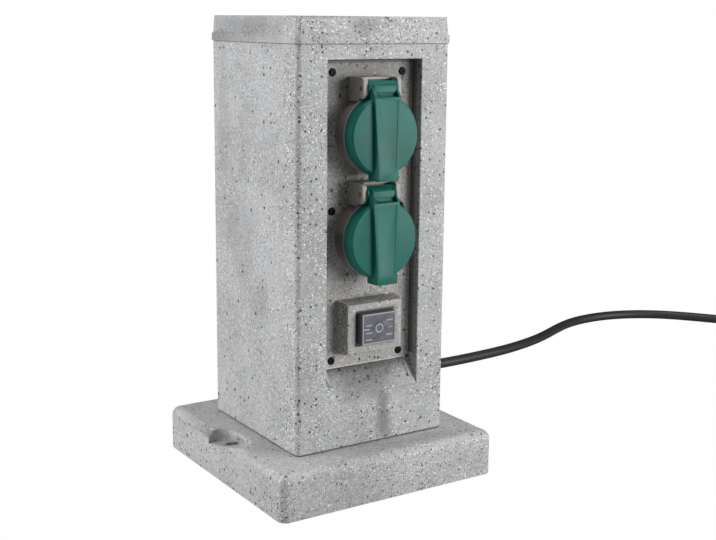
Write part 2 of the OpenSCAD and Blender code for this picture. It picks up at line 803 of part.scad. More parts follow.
module contact_sleeves() {
    for (side = [-1, 1]) translate([side * pin_pitch / 2, 0, 0]) difference() {
        union() {
            translate([0, 0, carrier_back + 5]) cylinder(r = sleeve_r, h = carrier_depth - 5.5);
            centred_box(terminal, terminal, terminal_back, carrier_back + 5.5);
        }
        translate([0, 0, carrier_back + 6]) cylinder(r = plug_pin_r + 0.1, h = carrier_depth);
    }
}

module hinge_pin() {
    translate([0, hinge_y, hinge_out]) rotate([0, 90, 0])
        cylinder(r = pin_r, h = 2 * ear_out, center = true);
}

// Turns of wire on the hinge pin, whose lower leg rests on the collar
function spring_path() =
    let (
        pitch = 2 * spring_wire_r + 0.5,
        half = spring_turns * pitch / 2,
        rings = 8,
        turns = [for (i = [0:spring_turns * rings])
            let (a = 360 * i / rings)
            [half - pitch * i / rings, hinge_y + spring_r * sin(a), hinge_out - spring_r * cos(a)]],
        foot = hinge_y - sqrt(pow(knuckle_r + hinge_clear, 2) - pow(spring_r - spring_wire_r, 2)) + 0.3)
    concat([[half, foot, hinge_out - spring_r], [half, hinge_y - 2, hinge_out - spring_r]], turns);

module lid_spring() {
    tube(spring_path(), spring_wire_r, 6, [1, 0, 0]);
}

module lid_seal() {
    rotate_extrude() polygon([
        [seal_in_r, skirt_back + 0.15], [seal_out_r, skirt_back + 0.15],
        [seal_out_r, seal_top], [seal_in_r, seal_top]]);
}

module lid_disc() {
    rotate_extrude() polygon([
        [0, seal_top - 0.8], [seal_in_r - 0.1, seal_top - 0.8], [seal_in_r - 0.1, seal_top],
        [skirt_r - skirt_t, seal_top], [skirt_r - skirt_t, skirt_back], [skirt_r, skirt_back],
        [skirt_r, lid_face - 1.3], [lid_face_r, lid_face], [0, lid_face]]);
}

module lid_strap() {
    frame = 2.2;
    dip = 0.5;
    foot_in = 2;
    difference() {
        translate([0, 0, lid_face - weld]) linear_extrude(strap_out + weld) polygon([
            [-strap_top_w / 2, strap_top], [strap_top_w / 2, strap_top],
            [strap_foot_w / 2, strap_foot], [-strap_foot_w / 2, strap_foot]]);
        translate([0, 0, strap_face - dip]) linear_extrude(strap_out) polygon([
            [frame - strap_top_w / 2, strap_top - frame], [strap_top_w / 2 - frame, strap_top - frame],
            [strap_foot_w / 2 - frame, strap_foot + 3 * frame],
            [frame - strap_foot_w / 2, strap_foot + 3 * frame]]);
    }
    difference() {
        centred_box(strap_foot_w, 2 * -strap_foot, skirt_back + 0.8, strap_face - weld);
        translate([0, 0, skirt_back]) cylinder(r = skirt_r - 0.5, h = lid_depth + strap_out + 1);
        translate([-strap_top_w, -skirt_r + foot_in, 0]) cube([2 * strap_top_w, 3 * skirt_r, 2 * strap_face]);
    }
}

module lid_arm() {
    web_half = strap_top_w / 2 - cheek_t;
    cheek_tip = [hinge_y + 3.5, hinge_out + 4];
    for (side = [-1, 1]) translate([side * (strap_top_w - cheek_t) / 2, 0, 0]) across(cheek_t) polygon([
        [strap_top, strap_face], cheek_tip, [hinge_y, hinge_out],
        [strap_top - 4, skirt_back + 0.2], [strap_top - 4, strap_face]]);
    across(2 * web_half + 1) polygon([
        [strap_top - 4, skirt_back + 0.2], [hinge_y, hinge_out + 1],
        [hinge_y, hinge_out + knuckle_r - 0.2], [strap_top - 2, lid_face], [strap_top - 4, lid_face]]);
    translate([0, hinge_y, hinge_out]) rotate([0, 90, 0])
        cylinder(r = knuckle_r, h = 2 * knuckle_half, center = true);
}

// The space for the spring: round the pin, and open behind and below
module spring_space() {
    far = knuckle_r + 4;
    open_up = 55;
    translate([0, hinge_y, hinge_out]) rotate([0, 90, 0])
        cylinder(r = cavity_r, h = 2 * cavity_half, center = true);
    across(2 * cavity_half) translate([hinge_y, hinge_out]) polygon([
        [0, 0], [far * sin(open_up), -far * cos(open_up)], [0, -far], [-far, -far], [-far, 0]]);
}

module lid() {
    difference() {
        union() {
            lid_disc();
            lid_strap();
            difference() {
                lid_arm();
                cylinder(r = skirt_r - weld, h = seal_top);
            }
        }
        spring_space();
        translate([0, hinge_y, hinge_out]) rotate([0, 90, 0])
            cylinder(r = pin_r + fit, h = 2 * knuckle_half + 2, center = true);
    }
}

module insert_screw() {
    translate([0, 0, recess_floor - 1.5]) cylinder(r1 = centre_screw_r, r2 = centre_head_r, h = 1.4);
    translate([0, 0, insert_back - 8]) cylinder(r = centre_screw_r, h = floor_t + 6.8);
}

module upper_socket_housing() { color(socket_grey) facing(upper_z) socket_housing(); }
module lower_socket_housing() { color(socket_grey) facing(lower_z) socket_housing(); }
module upper_ring_nut() { color(socket_grey) facing(upper_z) ring_nut(); }
module lower_ring_nut() { color(socket_grey) facing(lower_z) ring_nut(); }
module upper_socket_insert() { color(socket_grey) facing(upper_z) socket_insert(); }
module lower_socket_insert() { color(socket_grey) facing(lower_z) socket_insert(); }
module upper_contact_carrier() { color(white_plastic) facing(upper_z) contact_carrier(); }
module lower_contact_carrier() { color(white_plastic) facing(lower_z) contact_carrier(); }
module upper_earth_clip() { color(steel) facing(upper_z) earth_clip(); }
module lower_earth_clip() { color(steel) facing(lower_z) earth_clip(); }
module upper_contact_sleeves() { color(brass) facing(upper_z) contact_sleeves(); }
module lower_contact_sleeves() { color(brass) facing(lower_z) contact_sleeves(); }
module upper_hinge_pin() { color(brass) facing(upper_z) hinge_pin(); }
module lower_hinge_pin() { color(brass) facing(lower_z) hinge_pin(); }
module upper_lid_spring() { color(steel) facing(upper_z) lid_spring(); }
module lower_lid_spring() { color(steel) facing(lower_z) lid_spring(); }
module upper_lid() { color(lid_green) facing(upper_z) lid(); }
module lower_lid() { color(lid_green) facing(lower_z) lid(); }
module upper_lid_seal() { color(rubber) facing(upper_z) lid_seal(); }
module lower_lid_seal() { color(rubber) facing(lower_z) lid_seal(); }
module insert_screws() { color(steel) for (z = [upper_z, lower_z]) facing(z) insert_screw(); }

// Switch
module switch_body() {
    color(rubber) facing(switch_z) difference() {
        union() {
            centred_box(flange_w, flange_h, bezel_floor, flange_face);
            centred_box(body_w, body_h, switch_back, bezel_floor + weld);
        }
        centred_box(well_w, well_h, rocker_out - 9, flange_face + 1);
        translate([0, 0, rocker_out]) rotate([90, 0, 0])
            cylinder(r = trunnion_r + 0.05, h = body_h - 0.2, center = true);
    }
}

module switch_tabs() {
    color(brass) facing(switch_z) for (x = [-1, 1], y = [-1, 1])
        translate([x * tab_x, y * tab_y, 0]) centred_box(tab_t, tab_w, tab_back, switch_back);
}

module switch_rocker() {
    tip = rocker_out + 6.5;
    color(rubber) facing(switch_z) translate([0, 0, rocker_out]) rotate([0, rocker_tilt, 0]) {
        translate([0, 0, -rocker_out]) rotate([90, 0, 0]) linear_extrude(rocker_h, center = true) polygon([
            [-rocker_half, tip], [0, tip - 1.6], [rocker_half, tip], [rocker_half, tip - 3.3],
            [rocker_half - 3, tip - 9.5], [3, tip - 12], [-3, tip - 12], [3 - rocker_half, tip - 9.5],
            [-rocker_half, tip - 3.3]]);
        rotate([90, 0, 0]) cylinder(r = trunnion_r, h = body_h - 0.6, center = true);
    }
}

module boot_marks() {
    bar = [5.4, 0.9];
    left = [[-8.4, 2.6], [-10.6, 0], [-8.4, -2.6], [-8.4, -7.4]];
    right = [[8.4, 4.9], [8.4, -0.2], [8.4, -5.3]];
    for (at = concat(left, right)) translate([at[0], at[1], boot_face - 0.2])
        linear_extrude(0.5) square(bar, center = true);
    translate([0, 0, boot_face - 0.2]) difference() {
        cylinder(r = 3.3, h = 0.6);
        translate([0, 0, -1]) cylinder(r = 2.3, h = 3);
    }
}

module boot_rim() {
    edge = 0.5;
    rim = 0.8;
    difference() {
        centred_box(boot_w - 2 * edge, boot_h - 2 * edge, boot_face - 0.5, boot_face + 0.3);
        centred_box(boot_w - 2 * edge - 2 * rim, boot_h - 2 * edge - 2 * rim, boot_face - 1, boot_face + 1);
    }
}

module switch_boot() {
    color("#6a6d74") facing(switch_z) difference() {
        union() {
            centred_box(flange_w, flange_h, flange_face, flange_face + boot_flange_t);
            translate([0, 0, flange_face])
                soft_block(boot_w, boot_h, boot_face - flange_face, 1, 0.8);
            boot_rim();
            boot_marks();
        }
        centred_box(boot_w - 2 * boot_t, boot_h - 2 * boot_t, flange_face - 1, boot_face - boot_t);
    }
}

// Cable entry and leads
module along_exit(y) {
    translate([0, y, exit_z]) rotate([-90, 0, 0]) children();
}

module cable_bush() {
    grooves = 5;
    tip_r = cord_r + 1.6;
    root_r = neck_r + 0.5;
    pitch = relief_h / (grooves + 1);
    color(rubber) along_exit(bush_back - bush_tail) difference() {
        rotate_extrude() polygon([
            [cord_r + 0.05, 0], [neck_r, 0], [neck_r, bush_tail + wall_t],
            [bush_flange_r, bush_tail + wall_t], [bush_flange_r, bush_tail + wall_t + bush_flange_t],
            [root_r, bush_tail + wall_t + bush_flange_t],
            [tip_r, bush_tail + wall_t + bush_flange_t + relief_h],
            [cord_r + 0.05, bush_tail + wall_t + bush_flange_t + relief_h]]);
        for (i = [1:grooves]) translate([0, 0, bush_tail + wall_t + bush_flange_t + i * pitch]) difference() {
            cylinder(r = neck_r + 3, h = 1.6, center = true);
            cylinder(r = cord_r + 1, h = 3, center = true);
        }
    }
}

module bush_nut() {
    color(rubber) along_exit(bush_back - bush_nut_h) difference() {
        cylinder(r = neck_r + 5.5, h = bush_nut_h, $fn = 6);
        translate([0, 0, -1]) cylinder(r = neck_r + 0.05, h = bush_nut_h + 2);
    }
}

module inner_cord() {
    color(rubber) along_exit(cord_end_y) cylinder(r = cord_r, h = bush_tip - cord_end_y);
}

module cord_clamp() {
    color(white_plastic) difference() {
        translate([-clamp_w / 2, clamp_y - clamp_d / 2, exit_z + 0.3]) cube([clamp_w, clamp_d, clamp_h]);
        translate([0, clamp_y, exit_z]) rotate([90, 0, 0])
            cylinder(r = cord_r + clamp_gap, h = clamp_d + 2, center = true);
        for (side = [-1, 1]) translate([side * clamp_screw_x, clamp_y, exit_z - 1])
            cylinder(r = screw_r + 0.05, h = clamp_h + 3);
    }
}

module clamp_screws() {
    color(steel) for (side = [-1, 1]) translate([side * clamp_screw_x, clamp_y, exit_z + 0.3 + clamp_h]) {
        cylinder(r = head_r, h = head_h);
        translate([0, 0, -clamp_h - 9]) cylinder(r = screw_r, h = clamp_h + 9 + weld);
    }
}

// Where the leads end, as points in the pillar
lead_start = 2.9;
cord_reach = 18;
tab_reach = 30;
link_reach = 16;
loop_reach = 18;
earth_reach = 26;
earth_arrival = 44;
earth_loop = 30;
function switch_tab(x, y) = [x * tab_x, panel_y - tab_back, switch_z + y * tab_y];
function terminal_at(x, z, row) = [x * pin_pitch / 2, panel_y - terminal_back, z + row * (lead_r + 0.15)];
function earth_at(z, row) = [row * (lead_r + 0.15), panel_y - terminal_back, z + earth_y];
function cord_core(x, z) = [x, cord_end_y, exit_z + z];

module live_leads(side) {
    tube(lead_path(cord_core(side * lead_start, 0.9), [0, -cord_reach, 0],
        switch_tab(side, -1), [0, tab_reach, 0], 7), lead_r, 8);
    tube(lead_path(switch_tab(side, 1), [0, link_reach, 0],
        terminal_at(side, lower_z, -1), [0, link_reach, 0], 6), lead_r, 8);
    tube(lead_path(terminal_at(side, lower_z, 1), [0, loop_reach, 0],
        terminal_at(side, upper_z, -1), [0, loop_reach, 0], 6), lead_r, 8);
}

module leads_brown() { color("#6b3f22") live_leads(-1); }
module leads_blue() { color("#2f5fb3") live_leads(1); }
module leads_earth() {
    color("#5f9e2f") {
        tube(lead_path(cord_core(0, -lead_start), [0, -earth_reach, 0],
            earth_at(lower_z, -1), [0, earth_arrival, 0], 9), lead_r, 8);
        tube(lead_path(earth_at(lower_z, 1), [0, earth_loop, 0],
            earth_at(upper_z, 1), [0, earth_loop, 0], 7), lead_r, 8);
    }
}

// Cable outside
module power_cable() {
    color(rubber) tube(cable_route, cord_r, 8);
}

// The coil spirals in for half its loops, climbs a layer and spirals out on top
coil_gap = 0.6;
coil_step = cord_d + coil_gap;
coil_rings = 24;
coil_entry = cable_route[len(cable_route) - 1];
coil_ahead = unit([coil_entry[0], coil_entry[1], 0]
    - [cable_route[len(cable_route) - 2][0], cable_route[len(cable_route) - 2][1], 0]);
coil_left = [-coil_ahead[1], coil_ahead[0], 0];
coil_start = [coil_entry[0], coil_entry[1], 0] + cord_d * coil_ahead;
coil_out = 44;
plug_axis_z = plug_r;
function ease(t) = t <= 0 ? 0 : t >= 1 ? 1 : t * t * (3 - 2 * t);
function coil_radius(t) = coil_r - coil_step * (coil_loops / 2 - abs(t - coil_loops / 2));
function coil_height(t) = cord_r + coil_step * ease((t - coil_loops / 2) / 0.5 + 0.5);
function coil_point(t) =
    let (centre = coil_start + coil_r * coil_left, a = 360 * t, r = coil_radius(t))
    centre - r * cos(a) * coil_left + r * sin(a) * coil_ahead + [0, 0, coil_height(t)];
function coil_tail(s) =
    coil_start + coil_out * s * coil_ahead
        + [0, 0, cord_r + coil_step + (plug_axis_z - cord_r - coil_step) * ease(s / 0.75)];
coil_path = concat(
    [coil_entry],
    [for (i = [0:coil_loops * coil_rings]) coil_point(i / coil_rings)],
    [for (s = [0.25, 0.5, 0.75, 1]) coil_tail(s)]);
coil_least_gap = min([
    for (i = [0:len(coil_path) - 1], j = [i + 6:1:len(coil_path) - 1])
        norm(coil_path[i] - coil_path[j])]) - cord_d;

module cable_coil() {
    color(rubber) tube(coil_path, cord_r, 6);
}

// Plug, drawn along Z with its contacts upwards
module at_plug() {
    turn = atan2(coil_ahead[1], coil_ahead[0]);
    translate(coil_start + coil_out * coil_ahead + [0, 0, plug_axis_z])
        rotate([0, 90, turn]) children();
}

plug_relief_h = 26;
module plug_body() {
    color(rubber) at_plug() difference() {
        rotate_extrude() polygon([
            [0, 0], [cord_r + 1.6, 0], [cord_r + 3.4, plug_relief_h - 6], [plug_r - 4, plug_relief_h],
            [plug_r, plug_relief_h + 5], [plug_r, plug_relief_h + plug_h], [0, plug_relief_h + plug_h]]);
        for (side = [-1, 1]) {
            translate([0, side * (plug_r + 0.4), plug_relief_h + plug_h - 7])
                centred_box(5.6, 7, -9, 9);
            translate([side * (plug_r + 0.2), 0, plug_relief_h + plug_h - 8])
                centred_box(3, 7, -9, 10);
            translate([0, side * pin_pitch / 2, plug_relief_h + plug_h - 8])
                cylinder(r = plug_pin_r + 0.03, h = 10);
        }
    }
}

module plug_contacts() {
    color(steel) at_plug() for (side = [-1, 1]) {
        translate([0, side * pin_pitch / 2, plug_relief_h + plug_h - 8]) {
            cylinder(r = plug_pin_r, h = 8 + plug_pin_h - 1);
            translate([0, 0, 8 + plug_pin_h - 1]) cylinder(r1 = plug_pin_r, r2 = plug_pin_r - 1, h = 1);
        }
        translate([side * (plug_r - 0.6), 0, plug_relief_h + plug_h - 8]) centred_box(1, 5, -8.5, 8);
    }
}

echo(cord_length = bush_tip - cord_end_y + path_length(cable_route) + path_length(coil_path) + 16,
    coil_least_gap = coil_least_gap);

base_plate();
base_screws();
pillar_shell();
top_cap();
cap_seal();
socket_panel();
panel_gasket();
panel_screws();
upper_socket_housing();
upper_ring_nut();
upper_socket_insert();
upper_contact_carrier();
upper_earth_clip();
upper_contact_sleeves();
upper_hinge_pin();
upper_lid_spring();
upper_lid();
upper_lid_seal();
lower_socket_housing();
lower_ring_nut();
lower_socket_insert();
lower_contact_carrier();
lower_earth_clip();
lower_contact_sleeves();
lower_hinge_pin();
lower_lid_spring();
lower_lid();
lower_lid_seal();
insert_screws();
switch_body();
switch_tabs();
switch_rocker();
switch_boot();
cable_bush();
bush_nut();
inner_cord();
cord_clamp();
clamp_screws();
leads_brown();
leads_blue();
leads_earth();
power_cable();
cable_coil();
plug_body();
plug_contacts();
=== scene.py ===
# Outdoor socket pillar with lidded sockets, a booted switch and a mains cable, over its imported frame.
import math

import bpy
from mathutils import Matrix, Vector


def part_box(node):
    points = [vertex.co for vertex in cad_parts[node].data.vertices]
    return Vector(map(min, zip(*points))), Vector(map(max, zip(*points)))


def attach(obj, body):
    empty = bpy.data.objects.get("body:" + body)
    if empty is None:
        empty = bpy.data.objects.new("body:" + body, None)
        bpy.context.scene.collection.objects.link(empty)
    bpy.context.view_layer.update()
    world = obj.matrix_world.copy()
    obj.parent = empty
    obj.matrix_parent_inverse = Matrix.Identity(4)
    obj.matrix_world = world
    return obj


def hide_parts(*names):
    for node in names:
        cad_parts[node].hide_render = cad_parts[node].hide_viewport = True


bl_info = {
    "name": "Socket pillar",
    "version": (1, 0, 0),
    "blender": (4, 5, 0),
    "location": "View3D > Sidebar > Pillar",
    "description": "Builds the finished look of a granite style socket pillar over its frame",
    "category": "Add Mesh",
}

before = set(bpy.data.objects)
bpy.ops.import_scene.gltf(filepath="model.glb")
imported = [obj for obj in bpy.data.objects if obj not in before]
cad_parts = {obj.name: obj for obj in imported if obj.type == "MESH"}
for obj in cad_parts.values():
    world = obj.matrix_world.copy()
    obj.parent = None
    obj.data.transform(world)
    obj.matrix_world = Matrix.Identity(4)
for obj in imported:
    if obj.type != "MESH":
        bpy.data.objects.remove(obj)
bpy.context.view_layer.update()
MM = 0.001

# Places in millimetres, as in the part's source
PANEL_Y = -51.0
UPPER_Z = 248.0
LOWER_Z = 178.0
SWITCH_Z = 116.0
SLAB_TOP = 32.0
EXIT_Z = 52.0
BUSH_TIP = 86.0
CORD_RADIUS = 4.6
CORD_END = 24.0
LEAD_RADIUS = 1.4
TAB_BACK = PANEL_Y + 29.0
PIN_SIDE = 9.5
TAB_SIDE = 7.0
TERMINAL_GAP = 1.55
EARTH_DOWN = 11.0
HINGE_UP = 31.2
HINGE_OUT = 14.5
SCREW_X = 28.0
SCREW_ROWS = (92.5, 196.7, 289.45)
SCREW_HEAD = 2.6
BOOT_OUT = 17.0
LIP_TOP = 313.0
PILLAR_HALF = 61.0
CORNER = 57.0
LID_FACE = 21.5
STRAP_FACE = 25.0
STRAP_TOP = 25.7
STRAP_FOOT = -29.5
CHEEK_IN = 7.25

# How far the finished cap and lids depart from that, in millimetres and shares
LIP_RAISE = 1.7
LIP_DRAWN_IN = 0.7
CAP_LEAN = 0.0009
FACE_OUT = 0.8
FACE_SHARE = 0.988
STRAP_RISE = 1.9
STRAP_SINK = 0.3
STRAP_NARROW = 0.10
STRAP_CHAMFER = 0.25
CHEEK_THINNED = 1.4

# Limits by which edges are picked, in millimetres
NICHE_SIDE = 40.0
NICHE_FOOT = 60.0
NICHE_HEAD = 300.0
WALL_IN = 58.0
POCKET_IN = 66.0
POCKET_SIDE = 27.0
BEZEL_FRONT = 11.0
BEZEL_EDGE = 8.0
OPENING_SIDE = 20.0
OPENING_RISE = 15.0
EAR_IN = 11.0
EAR_FOOT = 18.0
EAR_OUT = 3.0
LID_SKIRT = 18.5

# Degrees past which an edge is sharp and within which faces are flat, and a distance that merges points
SHARP = 30.0
FLAT_WITHIN = 0.6
MERGE_WITHIN = 0.002

SOCKETS = (("upper", UPPER_Z), ("lower", LOWER_Z))

# Route of the cable from the bush over the floor
CABLE_ROUTE = (
    (0, BUSH_TIP, EXIT_Z), (0, 94, EXIT_Z), (2, 107, 49), (6, 120, 42), (12, 131, 32),
    (20, 140, 22), (31, 146.5, 13), (45, 150, 7), (61, 151, 4.8), (80, 151, 4.6),
    (101, 150.5, 4.6), (123, 149.5, 4.6), (146, 148, 4.6), (170, 146.5, 4.6),
    (195, 145.5, 4.6), (219, 145.5, 4.6), (242, 146, 4.6), (264, 147.5, 4.6),
    (285, 149.5, 4.6), (305, 152.5, 4.6), (325, 157, 4.6), (344, 162.5, 4.6),
    (363, 169.5, 4.6), (381, 177.5, 4.6), (399, 186, 4.6), (417, 193.5, 4.6),
    (436, 199, 4.6), (456, 201.5, 4.6), (476, 201, 4.6), (496, 197, 4.6),
    (515, 189.5, 4.6), (532, 179, 4.6), (547, 166, 4.6), (560, 151, 4.6),
    (572, 135, 4.6), (584, 118, 4.6), (596, 101, 4.6), (608, 84, 4.6), (620, 67, 4.6),
)
COIL_RADIUS = 55.0
COIL_STEP = 9.8
COIL_LOOPS = 2
COIL_RINGS = 24
COIL_OUT = 44.0
PLUG_AXIS_Z = 18.5
CORD_IN_PLUG = 16.0


def ease(t):
    t = min(max(t, 0.0), 1.0)
    return t * t * (3 - 2 * t)


def coil_frame():
    entry = Vector(CABLE_ROUTE[-1])
    before = Vector(CABLE_ROUTE[-2])
    entry.z = before.z = 0
    ahead = (entry - before).normalized()
    left = Vector((-ahead.y, ahead.x, 0))
    start = entry + 2 * CORD_RADIUS * ahead
    return start, ahead, left


def coil_path():
    """Points of the coil and of the stretch that leads to the plug."""
    start, ahead, left = coil_frame()
    centre = start + COIL_RADIUS * left
    points = []
    for i in range(COIL_LOOPS * COIL_RINGS + 1):
        t = i / COIL_RINGS
        half = COIL_LOOPS / 2
        radius = COIL_RADIUS - COIL_STEP * (half - abs(t - half))
        height = CORD_RADIUS + COIL_STEP * ease((t - half) / 0.5 + 0.5)
        turn = math.tau * t
        points.append(centre - radius * math.cos(turn) * left + radius * math.sin(turn) * ahead
                      + Vector((0, 0, height)))
    top = CORD_RADIUS + COIL_STEP
    for s in (0.25, 0.5, 0.75, 1.0):
        height = top + (PLUG_AXIS_Z - top) * ease(s / 0.75)
        points.append(start + COIL_OUT * s * ahead + Vector((0, 0, height)))
    points.append(start + (COIL_OUT + CORD_IN_PLUG) * ahead + Vector((0, 0, PLUG_AXIS_Z)))
    return points


def cord_points():
    return [Vector(p) * MM for p in CABLE_ROUTE] + [p * MM for p in coil_path()]


def path_length(points):
    return sum((b - a).length for a, b in zip(points, points[1:]))


# Object and edit mode helpers
def deselect_all():
    for obj in bpy.context.selected_objects:
        obj.select_set(False)


def make_active(obj):
    deselect_all()
    obj.select_set(True)
    bpy.context.view_layer.objects.active = obj


def select_faces(obj, test):
    """Selects the faces whose middle and normal pass the test, and opens edit mode."""
    mesh = obj.data
    for part in (mesh.vertices, mesh.edges):
        part.foreach_set("select", [False] * len(part))
    mesh.polygons.foreach_set("select", [bool(test(f.center, f.normal)) for f in mesh.polygons])
    make_active(obj)
    bpy.ops.object.mode_set(mode="EDIT")
    bpy.ops.mesh.select_mode(type="FACE")


def select_edges(obj, test):
    """Selects the sharp edges whose two ends pass the test, and counts them."""
    mesh = obj.data
    normals = {}
    for face in mesh.polygons:
        for key in face.edge_keys:
            normals.setdefault(key, []).append(face.normal)
    limit = math.radians(SHARP)
    chosen = []
    for edge in mesh.edges:
        sides = normals.get(edge.key, [])
        ends = [mesh.vertices[i].co for i in edge.vertices]
        is_sharp = len(sides) == 2 and sides[0].angle(sides[1], 0) > limit
        chosen.append(is_sharp and bool(test(ends[0], ends[1])))
    for part in (mesh.vertices, mesh.polygons):
        part.foreach_set("select", [False] * len(part))
    mesh.edges.foreach_set("select", chosen)
    make_active(obj)
    bpy.ops.object.mode_set(mode="EDIT")
    bpy.ops.mesh.select_mode(type="EDGE")
    return sum(chosen)


def leave_edit():
    bpy.ops.object.mode_set(mode="OBJECT")


def soften(obj, width, segments, test):
    """Rounds the sharp edges of a piece that pass the test, by a width in millimetres."""
    if select_edges(obj, test):
        bpy.ops.mesh.bevel(offset=width * MM, segments=segments, profile=0.5, clamp_overlap=True)
    leave_edit()


def smooth(obj, angle=32.0):
    make_active(obj)
    bpy.ops.object.shade_smooth_by_angle(angle=math.radians(angle))


def apply_modifiers(obj):
    make_active(obj)
    for modifier in list(obj.modifiers):
        bpy.ops.object.modifier_apply(modifier=modifier.name)


def settle(obj):
    """Puts a finished piece's place into its mesh."""
    make_active(obj)
    bpy.ops.object.transform_apply(location=True, rotation=True, scale=True)


def place(obj, body, slot, finish, replaces):
    """Gives a piece its body, its finish and the nodes that it stands for; the slot argument is not used.
    """
    obj.data.materials.clear()
    obj.data.materials.append(finish.material)
    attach(obj, body)
    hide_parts(*replaces)


def dress(node, finish):
    """Gives a node of the frame its finish."""
    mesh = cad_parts[node].data
    mesh.materials.clear()
    mesh.materials.append(finish.material)


def merged_copy(node, name):
    """Copy of a node's mesh as one closed skin of flat faces."""
    obj = bpy.data.objects.new(name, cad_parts[node].data.copy())
    bpy.context.scene.collection.objects.link(obj)
    make_active(obj)
    bpy.ops.object.mode_set(mode="EDIT")
    bpy.ops.mesh.select_all(action="SELECT")
    bpy.ops.mesh.remove_doubles(threshold=MERGE_WITHIN * MM)
    bpy.ops.mesh.dissolve_limited(angle_limit=math.radians(FLAT_WITHIN), delimit={"NORMAL"})
    leave_edit()
    return obj


def move_points(obj, rule):
    """Moves the mesh's points, in millimetres, where the rule gives them a new place."""
    for vertex in obj.data.vertices:
        place = rule(vertex.co / MM)
        if place is not None:
            vertex.co = Vector(place) * MM
    obj.data.update()


def joined(objects, name):
    """Joins objects into the first of them."""
    deselect_all()
    for obj in objects:
        obj.select_set(True)
    bpy.context.view_layer.objects.active = objects[0]
    bpy.ops.object.join()
    objects[0].name = name
    return objects[0]


def cuboid(size, middle=(0, 0, 0), turn=0.0):
    """Block of a size in metres round a place, turned about Z."""
    deselect_all()
    bpy.ops.mesh.primitive_cube_add(size=1, location=middle)
    block = bpy.context.active_object
    block.scale = size
    block.rotation_euler = (0, 0, math.radians(turn))
    settle(block)
    return block


def carve(obj, tool, operation):
    """Cuts a piece with a tool, and throws the tool away."""
    cut = obj.modifiers.new("cut", "BOOLEAN")
    cut.operation = operation
    cut.solver = "EXACT"
    cut.object = tool
    apply_modifiers(obj)
    bpy.data.objects.remove(tool)


def facing(z, x=0.0):
    """Place on the panel at height z, looking out of it: x right, y up, z out."""
    return Matrix.Translation(Vector((x, PANEL_Y, z)) * MM) @ Matrix.Rotation(math.radians(90), 4, "X")


class Signal:
    """Output of a shader node, on which Python arithmetic adds Math nodes."""

    def __init__(self, finish, socket):
        self.finish = finish
        self.socket = socket

    def output(self, name):
        return Signal(self.finish, self.socket.node.outputs[name])

    def math(self, operation, *values):
        return self.finish.node("ShaderNodeMath", {"operation": operation}, dict(enumerate(values)))

    def __add__(self, other):
        return self.math("ADD", self, other)

    def __radd__(self, other):
        return self.math("ADD", other, self)

    def __sub__(self, other):
        return self.math("SUBTRACT", self, other)

    def __rsub__(self, other):
        return self.math("SUBTRACT", other, self)

    def __mul__(self, other):
        return self.math("MULTIPLY", self, other)

    def __rmul__(self, other):
        return self.math("MULTIPLY", other, self)

    def __lt__(self, other):
        return self.math("LESS_THAN", self, other)

    def __gt__(self, other):
        return self.math("GREATER_THAN", self, other)

    def largest(self, other):
        return self.math("MAXIMUM", self, other)

    def absolute(self):
        return self.math("ABSOLUTE", self)


